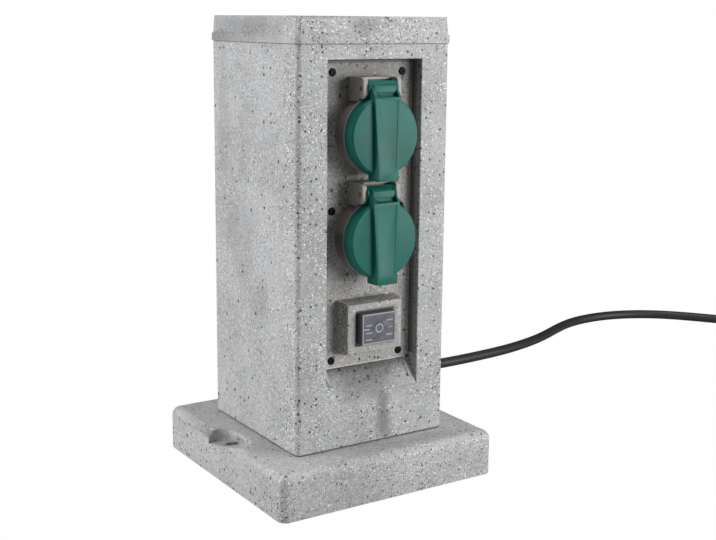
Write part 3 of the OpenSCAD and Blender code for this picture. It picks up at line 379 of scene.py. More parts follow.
class Finish:
    """One material whose looks come from nodes."""

    def __init__(self, name, roughness=0.5, metallic=0.0, **fixed):
        self.material = bpy.data.materials.new(name)
        self.material.use_nodes = True
        self.tree = self.material.node_tree
        self.shader = self.tree.nodes["Principled BSDF"]
        self.set(Roughness=roughness, Metallic=metallic)
        for key, value in fixed.items():
            self.shader.inputs[key.replace("_", " ")].default_value = value

    def node(self, kind, settings=None, inputs=None):
        """Adds a node, its settings first and then its sockets, and gives its first output."""
        made = self.tree.nodes.new(kind)
        for name, value in (settings or {}).items():
            setattr(made, name, value)
        for name, value in (inputs or {}).items():
            self.feed(made.inputs[name], value)
        return Signal(self, made.outputs[0])

    def feed(self, socket, value):
        if isinstance(value, Signal):
            self.tree.links.new(value.socket, socket)
        else:
            socket.default_value = value

    def set(self, **inputs):
        for key, value in inputs.items():
            self.feed(self.shader.inputs[key.replace("_", " ")], value)

    def where(self):
        return self.node("ShaderNodeTexCoord").output("Object")

    def parts(self, vector):
        """The three numbers of a vector or colour."""
        split = self.node("ShaderNodeSeparateXYZ", None, {"Vector": vector})
        return [split.output(axis) for axis in "XYZ"]

    def noise(self, where, per_metre, detail, roughness=0.5):
        return self.node("ShaderNodeTexNoise", None, {
            "Vector": where, "Scale": per_metre, "Detail": detail, "Roughness": roughness})

    def step(self, value, low, high):
        """Rises softly from 0 to 1 as the value goes from low to high."""
        return self.node("ShaderNodeMapRange", {"interpolation_type": "SMOOTHSTEP"}, {
            "Value": value, "From Min": low, "From Max": high})

    def mix(self, factor, first, second):
        """Mixes two colours."""
        made = self.node("ShaderNodeMix", {"data_type": "RGBA", "clamp_factor": True})
        inputs = made.socket.node.inputs
        self.feed(inputs[0], factor)
        self.feed(inputs[6], first)
        self.feed(inputs[7], second)
        return Signal(self, made.socket.node.outputs[2])

    def moved(self, where, offset):
        return self.node("ShaderNodeVectorMath", {"operation": "ADD"}, {0: where, 1: offset})

    def scaled(self, where, scale):
        return self.node("ShaderNodeVectorMath", {"operation": "MULTIPLY"}, {0: where, 1: scale})

    def length(self, vector):
        made = self.node("ShaderNodeVectorMath", {"operation": "LENGTH"}, {0: vector})
        return made.output("Value")

    def shaken(self, where, per_metre, amount):
        """Coordinates pushed about by noise, so that round marks turn uneven."""
        push = self.noise(where, per_metre, 1.0).output("Color")
        push = self.moved(push, (-0.5, -0.5, -0.5))
        push = self.node("ShaderNodeVectorMath", {"operation": "SCALE"}, {0: push, "Scale": amount})
        return self.moved(where, push)

    def chips(self, where, per_metre, share, least, most, edge=0.06):
        """Mask of stone chips: a share of cells holds one, of a radius from least to most of a cell."""
        cell = self.node("ShaderNodeTexVoronoi", {"feature": "F1"}, {
            "Vector": where, "Scale": per_metre})
        pick, size, _ = self.parts(cell.output("Color"))
        radius = size * (most - least) + least
        inside = self.step(radius - cell.output("Distance"), -edge, edge)
        return inside * (pick < share)

    def blob(self, where, centre, radii, rough):
        """Soft patch round a place on the surface, in millimetres."""
        shift = self.moved(where, [-c * MM for c in centre])
        local = self.scaled(shift, [1 / (r * MM) for r in radii])
        return self.step(self.length(local) + rough, 1.15, 0.25)

    def bump(self, height, strength, distance):
        made = self.node("ShaderNodeBump", None, {
            "Height": height, "Strength": strength, "Distance": distance * MM})
        self.set(Normal=made.output("Normal"))


def srgb(red, green, blue):
    """Linear colour from one as it looks on screen."""
    def linear(c):
        c /= 255
        return c / 12.92 if c <= 0.04045 else ((c + 0.055) / 1.055) ** 2.4
    return (linear(red), linear(green), linear(blue), 1.0)


# Sizes and colours that a user would change
class GraniteProperties(bpy.types.PropertyGroup):
    """Colours and grain of the moulded granite look."""
    base: bpy.props.FloatVectorProperty(
        name="Base", description="Colour of the ground between the chips",
        subtype="COLOR", size=4, min=0, max=1, default=srgb(184, 185, 187))
    panel: bpy.props.FloatVectorProperty(
        name="Panel", description="Colour of the ground on the socket panel",
        subtype="COLOR", size=4, min=0, max=1, default=srgb(165, 163, 161))
    light_chip: bpy.props.FloatVectorProperty(
        name="Light chip", description="Colour of the pale chips",
        subtype="COLOR", size=4, min=0, max=1, default=srgb(238, 238, 236))
    dark_chip: bpy.props.FloatVectorProperty(
        name="Dark chip", description="Colour of the dark chips",
        subtype="COLOR", size=4, min=0, max=1, default=srgb(56, 56, 60))
    edge: bpy.props.FloatProperty(
        name="Edge", description="Rounding of the niche's outer edge",
        unit="LENGTH", min=0.0002, max=0.003, default=0.0011)
    slab_edge: bpy.props.FloatProperty(
        name="Slab edge", description="Rounding of the slab's top edges and upright corners",
        unit="LENGTH", min=0.004, max=0.012, default=0.0062)


class LidProperties(bpy.types.PropertyGroup):
    """Looks of the hinged lids."""
    colour: bpy.props.FloatVectorProperty(
        name="Colour", description="Colour of the moulded lids",
        subtype="COLOR", size=4, min=0, max=1, default=srgb(10, 107, 94))
    roughness: bpy.props.FloatProperty(
        name="Roughness", description="How dull the lids are", min=0.05, max=1, default=0.46)
    edge: bpy.props.FloatProperty(
        name="Edge", description="Rounding of the lids' edges",
        unit="LENGTH", min=0.0001, max=0.001, default=0.0004)


class CableProperties(bpy.types.PropertyGroup):
    """The mains cable."""
    diameter: bpy.props.FloatProperty(
        name="Diameter", description="Outer diameter of the cable",
        unit="LENGTH", min=0.006, max=0.011, default=2 * CORD_RADIUS * MM)
    colour: bpy.props.FloatVectorProperty(
        name="Colour", description="Colour of the cable's sheath",
        subtype="COLOR", size=4, min=0, max=1, default=srgb(38, 37, 42))


class StudioProperties(bpy.types.PropertyGroup):
    """Light and camera of the studio."""
    lens: bpy.props.FloatProperty(
        name="Lens", description="Focal length of the camera in millimetres",
        min=20, max=200, default=60.10)
    key: bpy.props.FloatProperty(
        name="Key light", description="Power of the light from the front right", unit="POWER",
        min=0, max=200, default=21.5)
    side: bpy.props.FloatProperty(
        name="Side light", description="Power of the light from behind the left side", unit="POWER",
        min=0, max=200, default=15.7)
    top: bpy.props.FloatProperty(
        name="Top light", description="Power of the light from above", unit="POWER",
        min=0, max=200, default=12.6)
    ambient: bpy.props.FloatProperty(
        name="Ambient", description="Strength of the light from all round", min=0, max=3, default=0.05)


# Finishes
finishes = {}


def toned(colour, share):
    """A colour made darker or paler."""
    return [min(1.0, share * c) for c in colour[:3]] + [1.0]


def granite(name, ground, light, dark, stains_and_shade, joints_and_shadow_lines=(), niche=0.0, foot_highlight=None, calm=1.0, lit_top=0.0):
    """Moulded granite look: a mottled ground with flecks, soft stains and dark joint lines, with painted
    shade, painted shadow lines, a painted highlight on a foot and a painted lit top where they are asked
    for.
    """
    finish = Finish(name, roughness=0.62)
    where = finish.where()
    loose = finish.shaken(where, 800, 0.0008)
    crowd = finish.step(finish.noise(where, 30, 3.0, 0.6), 0.36, 0.62)
    small_light = finish.chips(loose, 680, 0.60, 0.16, 0.42)
    small_dark = finish.chips(finish.moved(loose, (0.31, 0.17, 0.53)), 600, 0.60, 0.14, 0.38)
    large_light = finish.chips(finish.moved(loose, (0.71, 0.43, 0.11)), 330, 0.25, 0.13, 0.25)
    large_dark = finish.chips(finish.moved(loose, (0.13, 0.83, 0.29)), 240, 0.27, 0.14, 0.26)
    spots = finish.chips(finish.moved(loose, (0.57, 0.29, 0.91)), 150, 0.36, 0.09, 0.19, 0.04)
    grain = finish.noise(where, 1300, 3.0, 0.7)
    mottle = finish.noise(where, 330, 4.0, 0.7)
    across, depth, height = finish.parts(where)
    cloud = finish.noise(where, 22, 4.0, 0.6)
    tint = finish.noise(where, 75, 3.0, 0.6)
    darker = toned(ground, 0.62)
    paler = toned(ground, 1.20)
    warm = [share * c for share, c in zip((1.0, 0.97, 0.86), ground)] + [1.0]
    colour = finish.mix(finish.step(cloud, 0.36, 0.60) * 0.5 + 0.5, darker, ground)
    colour = finish.mix(finish.step(tint, 0.50, 0.68) * 0.5, colour, warm)
    colour = finish.mix(finish.step(mottle, 0.52, 0.68) * 0.75, colour, paler)
    colour = finish.mix(finish.step(mottle, 0.47, 0.32) * 0.65, colour, darker)
    front = finish.step(depth, -35 * MM, -50 * MM)
    share = (crowd * 0.50 + 0.50) * (front * 0.45 + 0.55)
    few = 1.0
    if foot_highlight is not None:
        bezel = finish.step(depth, (PANEL_Y - 11.2) * MM, (PANEL_Y - 11.8) * MM)
        colour = finish.mix(bezel * 0.75, colour, paler)
        few = finish.step(height, 165 * MM, 140 * MM) * (1.0 - calm) + calm
        share = share * 0.30 + 0.70
    colour = finish.mix(small_light * share * few, colour, light)
    colour = finish.mix(small_dark * (share * 0.75 + 0.25), colour, dark)
    colour = finish.mix(large_light * (front * 0.35 + 0.60) * few, colour, light)
    colour = finish.mix(large_dark * (front * 0.12 + 0.85), colour, dark)
    colour = finish.mix(spots * 0.92, colour, dark)
    # Painted light: the slab turns paler towards its top, as if lit from above.
    if lit_top:
        top = finish.step(height, SLAB_TOP * MM * 0.84, SLAB_TOP * MM * 0.98)
        colour = finish.mix(top * lit_top, colour, light)
    rough = finish.noise(where, 60, 4.0, 0.6) * 1.3 - 0.65
    # Real stains and painted shade, as soft dark patches.
    shades = [finish.blob(where, centre, radii, rough) * strength for centre, radii, strength in stains_and_shade]
    # Dark joint lines and painted shadow lines, as bands at given heights.
    for middle, half, strength in joints_and_shadow_lines:
        line = finish.step((height - middle * MM).absolute(), half * MM, half * 0.4 * MM)
        shades.append(line * strength)
    # Painted shade on the niche walls, darkest deep in, next to the panel.
    if niche:
        deep = finish.step(depth, -PILLAR_HALF * MM, -59 * MM) * 0.62
        deep = deep + finish.step(depth, -56 * MM, -54.6 * MM) * 0.38
        inside = (across.absolute() < (NICHE_SIDE - 1) * MM) * (height > 90 * MM)
        shades.append(deep * inside * (depth < (PANEL_Y + 1) * MM) * niche)
    shade = shades[0]
    for other in shades[1:]:
        shade = shade.largest(other)
    colour = finish.mix(shade, colour, toned(ground, 0.22))
    # Painted highlight: a pale line along the panel's foot, where its edge catches the light.
    if foot_highlight is not None:
        low = finish.step(height, (foot_highlight + 0.5) * MM, foot_highlight * MM)
        colour = finish.mix(low * 0.45, colour, light)
    finish.set(Base_Color=colour)
    finish.set(Roughness=large_light * -0.18 + (grain * 0.22 + 0.46))
    finish.bump(grain * 0.6 + mottle * 0.6 - large_dark * 0.25, 0.35, 0.18)
    finishes[name] = finish


def moulded(name, colour, roughness, grain_size, bump, wear=None, shaded=(), **fixed):
    """Moulded plastic or rubber with a fine grain, slight mottling and painted shade in its hollows."""
    finish = Finish(name, roughness=roughness, **fixed)
    where = finish.where()
    grain = finish.noise(where, grain_size, 3.0, 0.6)
    cloud = finish.noise(where, 45, 3.0, 0.55)
    tint = finish.mix(finish.step(cloud, 0.32, 0.68), toned(colour, 0.80), colour)
    if wear is not None:
        rubbed = finish.noise(finish.shaken(where, 200, 0.004), 210, 5.0, 0.7)
        tint = finish.mix(finish.step(rubbed, 0.60, 0.78) * 0.35, tint, wear)
    # Painted shade: the colour darkens round the given places.
    for centre, radii, strength in shaded:
        hollow = finish.blob(where, centre, radii, 0.0) * strength
        tint = finish.mix(hollow, tint, toned(colour, 0.25))
    finish.set(Base_Color=tint)
    finish.set(Roughness=grain * 0.16 + (cloud * 0.08 + roughness - 0.12))
    finish.bump(grain + cloud * 0.5, 0.25, bump)
    finishes[name] = finish


def drawn_metal(name, colour, roughness, stretch, tarnish):
    """Plated or drawn metal with fine lines along its working direction and a little tarnish."""
    finish = Finish(name, roughness=roughness, metallic=1.0)
    where = finish.where()
    lines = finish.noise(finish.scaled(where, stretch), 1100, 3.0, 0.6)
    cloud = finish.noise(where, 160, 3.0, 0.6)
    tint = finish.mix(finish.step(cloud, 0.45, 0.75) * 0.6, colour, tarnish)
    finish.set(Base_Color=tint)
    finish.set(Roughness=lines * 0.20 + (cloud * 0.12 + roughness - 0.14))
    finish.bump(lines, 0.2, 0.05)
    finishes[name] = finish


def clear_boot(name):
    """Soft smoke grey boot whose raised marks and rim look paler."""
    finish = Finish(name, roughness=0.40, Specular_IOR_Level=0.35)
    where = finish.where()
    cloud = finish.noise(where, 120, 3.0, 0.6)
    grain = finish.noise(where, 1300, 2.0, 0.5)
    out = finish.parts(where)[1] * -1.0
    front = BOOT_OUT - PANEL_Y
    raised = finish.step(out, (front + 0.05) * MM, (front + 0.2) * MM)
    behind = finish.step(out, (front - 0.4) * MM, (front - 1.4) * MM)
    face = finish.mix(finish.step(cloud, 0.3, 0.7), srgb(88, 90, 97), srgb(104, 106, 114))
    face = finish.mix(behind, face, srgb(92, 92, 96))
    finish.set(Base_Color=finish.mix(raised * 0.85, face, srgb(176, 177, 182)))
    finish.set(Roughness=grain * 0.2 + 0.34)
    finish.bump(grain + cloud, 0.2, 0.06)
    finishes[name] = finish


def leave_finishes(scene):
    """Makes every finish from the scene's properties."""
    stone = scene.pillar_granite
    stains = (
        ((-4.0, -60, 75), (30, 12, 14), 0.52),
        ((9.0, -61, 52), (8.5, 8, 27), 0.62),
        ((-61, 18, 176), (6, 30, 38), 0.21),
        ((-61, -12, 134), (6, 15, 20), 0.28),
        ((-61, 42, 250), (6, 10, 60), 0.19),
        ((-61, 12, 230), (6, 12, 34), 0.16),
    )
    cap_stains = (
        ((-8, -61, 320), (13, 9, 7), 0.28),
        ((-61, 6, 319), (5, 52, 12), 0.42),
        ((-62, 38, 311), (5, 50, 8), 0.46),
    )
    niche_shade = (
        ((0, -51, 298), (60, 6, 34), 0.52),
        ((0, -57, 135.5), (30, 9, 2.4), 0.78),
    )
    # Real stains, and painted shade in the anchor pocket's hollow (the first patch).
    slab_stains_and_pocket_shade = (
        ((-80, 2, 26), (13, 17, 5), 0.45),
        ((-70, -30, 32), (14, 30, 3), 0.16),
        ((30, -74, 32), (52, 10, 3), 0.21),
    )
    chips = (stone.light_chip[:], stone.dark_chip[:])
    warm_ground = [share * c for share, c in zip((1.0, 0.995, 0.985, 1.0), stone.base)]
    # A dark joint at the pillar's foot, and a painted shadow line under the cap's lip.
    wall_joint_and_lip_shadow = ((SLAB_TOP + 0.5, 0.9, 0.95), (307.8, 0.7, 0.30))
    # Painted shadow: a dark band along the top of the panel, under the niche head.
    panel_head_shadow = ((296.9, 2.3, 0.90),)
    # The slab has a painted paler top, as if lit from above.
    granite("granite slab", warm_ground, *chips, slab_stains_and_pocket_shade, lit_top=0.13)
    # The walls get painted shade deep in the niche.
    granite("granite walls", stone.base[:], *chips, stains, wall_joint_and_lip_shadow, niche=0.88)
    granite("granite cap", stone.base[:], *chips, cap_stains)
    # The panel's painted highlight along its foot sits at this height.
    granite("granite panel", stone.panel[:], *chips, niche_shade, panel_head_shadow, foot_highlight=87.5, calm=0.70)
    # Painted shade round each socket collar, deep in the niche.
    rings = [((0, -57, z - 3), (60, 30, 26), 0.75) for _, z in SOCKETS]
    # Painted shade in the slot under each lid's hinge plate.
    strap_slot_shade = [((0, -68.4, z + 27.2), (8.8, 2.6, 2.0), 0.92) for _, z in SOCKETS]
    lids = scene.pillar_lids
    moulded("socket grey", srgb(180, 174, 168), 0.55, 1300, 0.10, srgb(205, 202, 198), rings)
    moulded("lid green", lids.colour[:], lids.roughness, 1100, 0.05, srgb(44, 122, 108), strap_slot_shade,
            Specular_IOR_Level=0.27)
    moulded("black rubber", srgb(36, 35, 39), 0.68, 1500, 0.12, srgb(70, 69, 74))
    moulded("cable sheath", scene.pillar_cable.colour[:], 0.52, 1600, 0.06, srgb(66, 65, 72))
    moulded("black plastic", srgb(40, 40, 43), 0.40, 1500, 0.06, srgb(66, 66, 70))
    moulded("black screw", srgb(20, 19, 20), 0.50, 1200, 0.05, srgb(70, 66, 62),
            Specular_IOR_Level=0.14)
    moulded("white plastic", srgb(226, 222, 212), 0.45, 1200, 0.06, srgb(200, 194, 180))
    moulded("lead brown", srgb(104, 66, 40), 0.42, 1500, 0.04)
    moulded("lead blue", srgb(48, 92, 170), 0.42, 1500, 0.04)
    moulded("lead green", srgb(96, 148, 52), 0.42, 1500, 0.04)
    drawn_metal("brass", srgb(168, 126, 70), 0.34, (0.15, 1.0, 1.0), srgb(120, 84, 44))
    drawn_metal("steel", srgb(176, 178, 182), 0.44, (1.0, 1.0, 0.15), srgb(140, 138, 134))
    drawn_metal("nickel", srgb(204, 200, 192), 0.26, (0.2, 1.0, 1.0), srgb(166, 158, 144))
    clear_boot("clear boot")


class PILLAR_OT_camera(bpy.types.Operator):
    """Sets the camera where the photograph was taken"""
    bl_idname = "pillar.camera"
    bl_label = "Camera"

    def execute(self, context):
        azimuth = math.radians(-32.935)
        elevation = math.radians(10.404)
        roll = math.radians(0.493)
        spot = Vector((-446.3, -726.0, 323.6)) * MM
        back = Vector((math.sin(azimuth) * math.cos(elevation),
                       -math.cos(azimuth) * math.cos(elevation), math.sin(elevation)))
        level = Vector((0, 0, 1)).cross(back).normalized()
        upright = back.cross(level)
        right = level * math.cos(roll) + upright * math.sin(roll)
        up = upright * math.cos(roll) - level * math.sin(roll)
        data = bpy.data.cameras.new("photo camera")
        camera = bpy.data.objects.new("photo camera", data)
        context.scene.collection.objects.link(camera)
        turn = Matrix((right, up, back)).transposed().to_4x4()
        camera.matrix_world = Matrix.Translation(spot) @ turn
        data.lens = context.scene.pillar_studio.lens
        data.sensor_width = 36
        data.shift_x = 0.0039
        data.shift_y = -0.0429
        data.clip_start = 0.02
        data.clip_end = 30
        context.scene.camera = camera
        return {"FINISHED"}


class PILLAR_OT_cable(bpy.types.Operator):
    """Lays the mains cable from the bush over the floor to its coil and plug"""
    bl_idname = "pillar.cable"
    bl_label = "Mains cable"

    def execute(self, context):
        points = cord_points()
        curve = bpy.data.curves.new("mains_cable", "CURVE")
        curve.dimensions = "3D"
        curve.resolution_u = 6
        curve.bevel_depth = context.scene.pillar_cable.diameter / 2
        curve.bevel_resolution = 6
        curve.use_fill_caps = True
        spline = curve.splines.new("BEZIER")
        spline.bezier_points.add(len(points) - 1)
        for knot, point in zip(spline.bezier_points, points):
            knot.co = point
            knot.handle_left_type = knot.handle_right_type = "AUTO"
        cable = bpy.data.objects.new("mains_cable", curve)
        context.scene.collection.objects.link(cable)
        place(cable, "pillar", "cable_rubber", finishes["cable sheath"], ("power_cable", "cable_coil"))
        round(path_length(points), 3)
        return {"FINISHED"}


class PILLAR_OT_studio(bpy.types.Operator):
    """Adds the pale floor and the soft studio lights"""
    bl_idname = "pillar.studio"
    bl_label = "Studio"

    def execute(self, context):
        deselect_all()
        bpy.ops.mesh.primitive_plane_add(size=14, location=(0, 0, -0.0004))
        floor = context.active_object
        floor.name = "studio_floor"
        paper = Finish("paper", roughness=0.9)
        where = paper.where()
        fibre = paper.noise(where, 3, 2.0)
        paper.set(Base_Color=paper.mix(fibre, (0.40, 0.40, 0.40, 1), (0.43, 0.43, 0.43, 1)))
        glow = paper.step(paper.length(where), 0.2, 0.8) * 0.01 + 0.99
        seen = paper.node("ShaderNodeLightPath").output("Is Camera Ray")
        lit = paper.node("ShaderNodeEmission", None, {"Color": (1, 1, 1, 1), "Strength": 1.0})
        dull = Signal(paper, paper.shader.outputs[0])
        blend = paper.node("ShaderNodeMixShader", None, {0: glow * seen, 1: dull, 2: lit})
        paper.feed(paper.tree.nodes["Material Output"].inputs["Surface"], blend)
        floor.data.materials.append(paper.material)
        settle(floor)
        studio = context.scene.pillar_studio
        self.light(context, "key", (0.85, -1.15, 0.28), (0.0, -0.05, 0.17), 0.9, studio.key)
        self.light(context, "side", (-1.25, 0.42, 0.40), (-0.05, 0, 0.16), 0.8, studio.side)
        self.light(context, "top", (0.12, 0.0, 1.5), (0, 0, 0.1), 0.9, studio.top)
        context.scene.view_settings.view_transform = "Standard"
        world = bpy.data.worlds.new("studio")
        world.use_nodes = True
        context.scene.world = world
        nodes, links = world.node_tree.nodes, world.node_tree.links
        sky = nodes["Background"]
        sky.inputs["Color"].default_value = (1, 1, 1, 1)
        ray = nodes.new("ShaderNodeLightPath")
        level = nodes.new("ShaderNodeMapRange")
        links.new(ray.outputs["Is Camera Ray"], level.inputs["Value"])
        level.inputs["To Min"].default_value = studio.ambient
        level.inputs["To Max"].default_value = 1.0
        links.new(level.outputs["Result"], sky.inputs["Strength"])
        return {"FINISHED"}

    def light(self, context, name, spot, aim, size, power):
        data = bpy.data.lights.new(name, "AREA")
        data.shape = "SQUARE"
        data.size = size
        data.energy = power
        lamp = bpy.data.objects.new(name, data)
        context.scene.collection.objects.link(lamp)
        lamp.location = spot
        lamp.rotation_mode = "QUATERNION"
        lamp.rotation_quaternion = (Vector(aim) - Vector(spot)).to_track_quat("-Z", "Y")


class PILLAR_OT_shell(bpy.types.Operator):
    """Finishes the slab, the pillar, its cap and the cap's seal"""
    bl_idname = "pillar.shell"
    bl_label = "Slab, pillar and cap"

    def execute(self, context):
        edge = context.scene.pillar_granite.edge / MM
        front = -(PILLAR_HALF - 0.1) * MM
        slab = merged_copy("base_plate", "slab")
        self.round_off(slab, context.scene.pillar_granite.slab_edge)
        soften(slab, 0.9, 3, lambda a, b: min(a.z, b.z) > (SLAB_TOP - 1) * MM
               and min(abs(a.x), abs(b.x)) > POCKET_IN * MM
               and max(abs(a.y), abs(b.y)) < POCKET_SIDE * MM)
        smooth(slab)
        place(slab, "pillar", "granite", finishes["granite slab"], ("base_plate",))
        shell = merged_copy("pillar_shell", "pillar_walls")
        soften(shell, edge, 4, lambda a, b: max(a.y, b.y) < front
               and min(a.z, b.z) > NICHE_FOOT * MM and max(a.z, b.z) < NICHE_HEAD * MM
               and max(abs(a.x), abs(b.x)) < NICHE_SIDE * MM)
        soften(shell, 1.0, 3, lambda a, b: max(a.z, b.z) < (SLAB_TOP + 0.1) * MM
               and min(max(abs(a.x), abs(a.y)), max(abs(b.x), abs(b.y))) > WALL_IN * MM)
        smooth(shell)
        place(shell, "pillar", "granite", finishes["granite walls"], ("pillar_shell",))
        cap = merged_copy("top_cap", "cap")
        move_points(cap, self.reshaped)
        soften(cap, 0.6, 3, lambda a, b: min(self.stand_out(a / MM), self.stand_out(b / MM)) > 0.5)
        smooth(cap)
        place(cap, "pillar", "granite", finishes["granite cap"], ("top_cap",))
        dress("cap_seal", finishes["black rubber"])
        return {"FINISHED"}

    def reshaped(self, point):
        """Cap whose lip stands higher and out less, and whose sides lean in a little above it."""
        if point.z < LIP_TOP and self.stand_out(point) > -0.1:
            drawn_in = LIP_DRAWN_IN if self.stand_out(point) > 0.5 else 0.0
            corner = Vector([math.copysign(min(abs(c), CORNER), c) for c in point.xy])
            away = point.xy - corner
            if away.length > 0:
                away *= 1 - drawn_in / away.length
            return corner.x + away.x, corner.y + away.y, point.z + LIP_RAISE
        if point.z > LIP_TOP + 2:
            lean = 1 - CAP_LEAN * (point.z - LIP_TOP)
            return point.x * lean, point.y * lean, point.z
        return None

    def stand_out(self, point):
        """How far a point, in millimetres, lies outside the pillar's rounded outline."""
        x, y = abs(point.x), abs(point.y)
        if min(x, y) > CORNER:
            return math.hypot(x - CORNER, y - CORNER) - (PILLAR_HALF - CORNER)
        return max(x, y) - PILLAR_HALF

    def round_off(self, slab, radius):
        """Cuts the slab to a block whose upright corners and top edges have the full rounding."""
        low, high = (Vector(corner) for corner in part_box("base_plate"))
        top = SLAB_TOP * MM
        boss_room = (0, 0, 2 * (high.z - top))
        block = cuboid((high.x - low.x, high.y - low.y, 2 * top))
        select_edges(block, lambda a, b: max(a.z, b.z) > 0)
        bpy.ops.mesh.bevel(offset=radius, segments=8, profile=0.5, clamp_overlap=True)
        leave_edit()
        select_faces(block, lambda c, n: n.z > 0.99)
        bpy.ops.mesh.inset(thickness=high.x - radius - WALL_IN * MM, depth=0)
        bpy.ops.mesh.extrude_region_move(TRANSFORM_OT_translate={"value": boss_room})
        leave_edit()
        carve(slab, block, "INTERSECT")


class PILLAR_OT_panel(bpy.types.Operator):
    """Finishes the socket panel with its switch bezel, and its gasket"""
    bl_idname = "pillar.panel"
    bl_label = "Panel"

    def execute(self, context):
        panel = merged_copy("socket_panel", "panel_plate")
        face = (PANEL_Y - 0.1) * MM
        soften(panel, 0.9, 3, lambda a, b: max(a.y, b.y) < (PANEL_Y - BEZEL_FRONT) * MM
               and (max(abs(a.x), abs(b.x)) > OPENING_SIDE * MM
                    or min(abs(a.z / MM - SWITCH_Z), abs(b.z / MM - SWITCH_Z)) > OPENING_RISE))
        soften(panel, 0.6, 3, lambda a, b: max(a.y, b.y) < face and abs(a.y - b.y) > BEZEL_EDGE * MM)
        smooth(panel)
        place(panel, "pillar", "granite_panel", finishes["granite panel"], ("socket_panel",))
        dress("panel_gasket", finishes["black rubber"])
        return {"FINISHED"}


class PILLAR_OT_panel_screws(bpy.types.Operator):
    """Models the black cross head screws of the panel"""
    bl_idname = "pillar.panel_screws"
    bl_label = "Panel screws"

    def execute(self, context):
        screw = self.one_screw()
        copies = []
        for x in (-SCREW_X, SCREW_X):
            for z in SCREW_ROWS:
                copy = bpy.data.objects.new("screw", screw.data.copy())
                context.scene.collection.objects.link(copy)
                turn = Matrix.Rotation(math.radians(17 + 3.1 * z + 0.7 * x), 4, "Z")
                copy.matrix_world = facing(z, x) @ turn
                settle(copy)
                copies.append(copy)
        bpy.data.objects.remove(screw)
        screws = joined(copies, "cross_head_screws")
        place(screws, "pillar", "black_screw", finishes["black screw"], ("panel_screws",))
        return {"FINISHED"}

    def one_screw(self):
        """A screw along Z with its seat under the panel's face."""
        deselect_all()
        top = 1.0
        seat = -0.8
        shank = 1.5
        length = 15.0
        cross = (3.0 * MM, 0.7 * MM, 1.6 * MM)
        bpy.ops.mesh.primitive_cylinder_add(
            vertices=32, radius=SCREW_HEAD * MM, depth=(top - seat) * MM,
            location=(0, 0, (top + seat) / 2 * MM))
        screw = bpy.context.active_object
        settle(screw)
        soften(screw, 0.7, 4, lambda a, b: min(a.z, b.z) > 0.5 * MM)
        select_faces(screw, lambda c, n: n.z < -0.9)
        bpy.ops.mesh.inset(thickness=(SCREW_HEAD - shank) * MM, depth=0)
        bpy.ops.mesh.extrude_region_move(TRANSFORM_OT_translate={"value": (0, 0, -length * MM)})
        leave_edit()
        for turn in (0, 90):
            carve(screw, cuboid(cross, (0, 0, 0.9 * MM), turn), "DIFFERENCE")
        smooth(screw)
        return screw


class PILLAR_OT_sockets(bpy.types.Operator):
    """Finishes the socket collars, inserts, carriers, contacts and hinge pins"""
    bl_idname = "pillar.sockets"
    bl_label = "Sockets"

    def execute(self, context):
        inner = {"ring_nut": "socket grey", "socket_insert": "socket grey",
                 "contact_carrier": "white plastic", "earth_clip": "nickel",
                 "contact_sleeves": "brass", "hinge_pin": "brass"}
        for side, z in SOCKETS:
            collar = merged_copy(f"{side}_socket_housing", f"{side}_collar")
            soften(collar, 0.45, 3, lambda a, b: max(a.y, b.y) < (PANEL_Y - EAR_OUT) * MM
                   and min(a.z, b.z) > (z + EAR_FOOT) * MM and min(abs(a.x), abs(b.x)) > EAR_IN * MM)
            smooth(collar)
            place(collar, "pillar", "socket_grey", finishes["socket grey"], (f"{side}_socket_housing",))
            for part, look in inner.items():
                dress(f"{side}_{part}", finishes[look])
        return {"FINISHED"}


class PILLAR_OT_lids(bpy.types.Operator):
    """Finishes the green hinged lids and their seals"""
    bl_idname = "pillar.lids"
    bl_label = "Lids"

    def execute(self, context):
        edge = context.scene.pillar_lids.edge / MM
        for side, z in SOCKETS:
            lid = merged_copy(f"{side}_lid", f"{side}_flap")
            move_points(lid, lambda p: self.reshaped(p, z))
            soften(lid, edge, 3, lambda a, b: max(a.y, b.y) < (PANEL_Y - LID_SKIRT) * MM)
            lid = joined([lid, self.web(z)], f"{side}_flap")
            smooth(lid)
            place(lid, f"{side}_lid_body", "lid_green", finishes["lid green"], (f"{side}_lid",))
            dress(f"{side}_lid_seal", finishes["black rubber"])
        return {"FINISHED"}

    def reshaped(self, point, z):
        """Face further out, strap that rises to its foot, and thinner cheeks beside the hinge."""
        x, up, out = point.x, point.z - z, PANEL_Y - point.y
        if up > STRAP_TOP - 3 and abs(abs(x) - CHEEK_IN) < 0.2:
            return math.copysign(CHEEK_IN + CHEEK_THINNED, x), point.y, point.z
        if LID_FACE - 1.4 < out < LID_FACE + 0.1 and up < STRAP_TOP + 0.05:
            return x * FACE_SHARE, point.y - FACE_OUT, z + up * FACE_SHARE
        if out > LID_FACE + 1.5 and up < STRAP_TOP + 0.1:
            shallow = STRAP_CHAMFER if STRAP_FACE - 0.7 < out < STRAP_FACE - 0.3 else 0.0
            slope = (STRAP_TOP - up) / (STRAP_TOP - STRAP_FOOT)
            rise = shallow + STRAP_RISE * slope - STRAP_SINK
            return x * (1 - STRAP_NARROW * slope), point.y - rise, point.z
        return None

    def web(self, z):
        """Upright plate between the strap's cheeks, with a dark slot left under it."""
        top = Vector((33.4, 20.9))
        foot = Vector((28.6, 21.4))
        thick = 1.1
        half = CHEEK_IN + CHEEK_THINNED + 0.1
        along = foot - top
        plate = cuboid((2 * half * MM, thick * MM, along.length * MM))
        soften(plate, 0.35, 3, lambda a, b: max(a.y, b.y) < 0)
        plate.rotation_euler = (-math.atan2(along.y, -along.x), 0, 0)
        inward = Vector((along.y, -along.x)).normalized() * -thick / 2
        middle = (top + foot) / 2 + inward
        plate.location = Vector((0, PANEL_Y - middle.y, z + middle.x)) * MM
        settle(plate)
        return plate


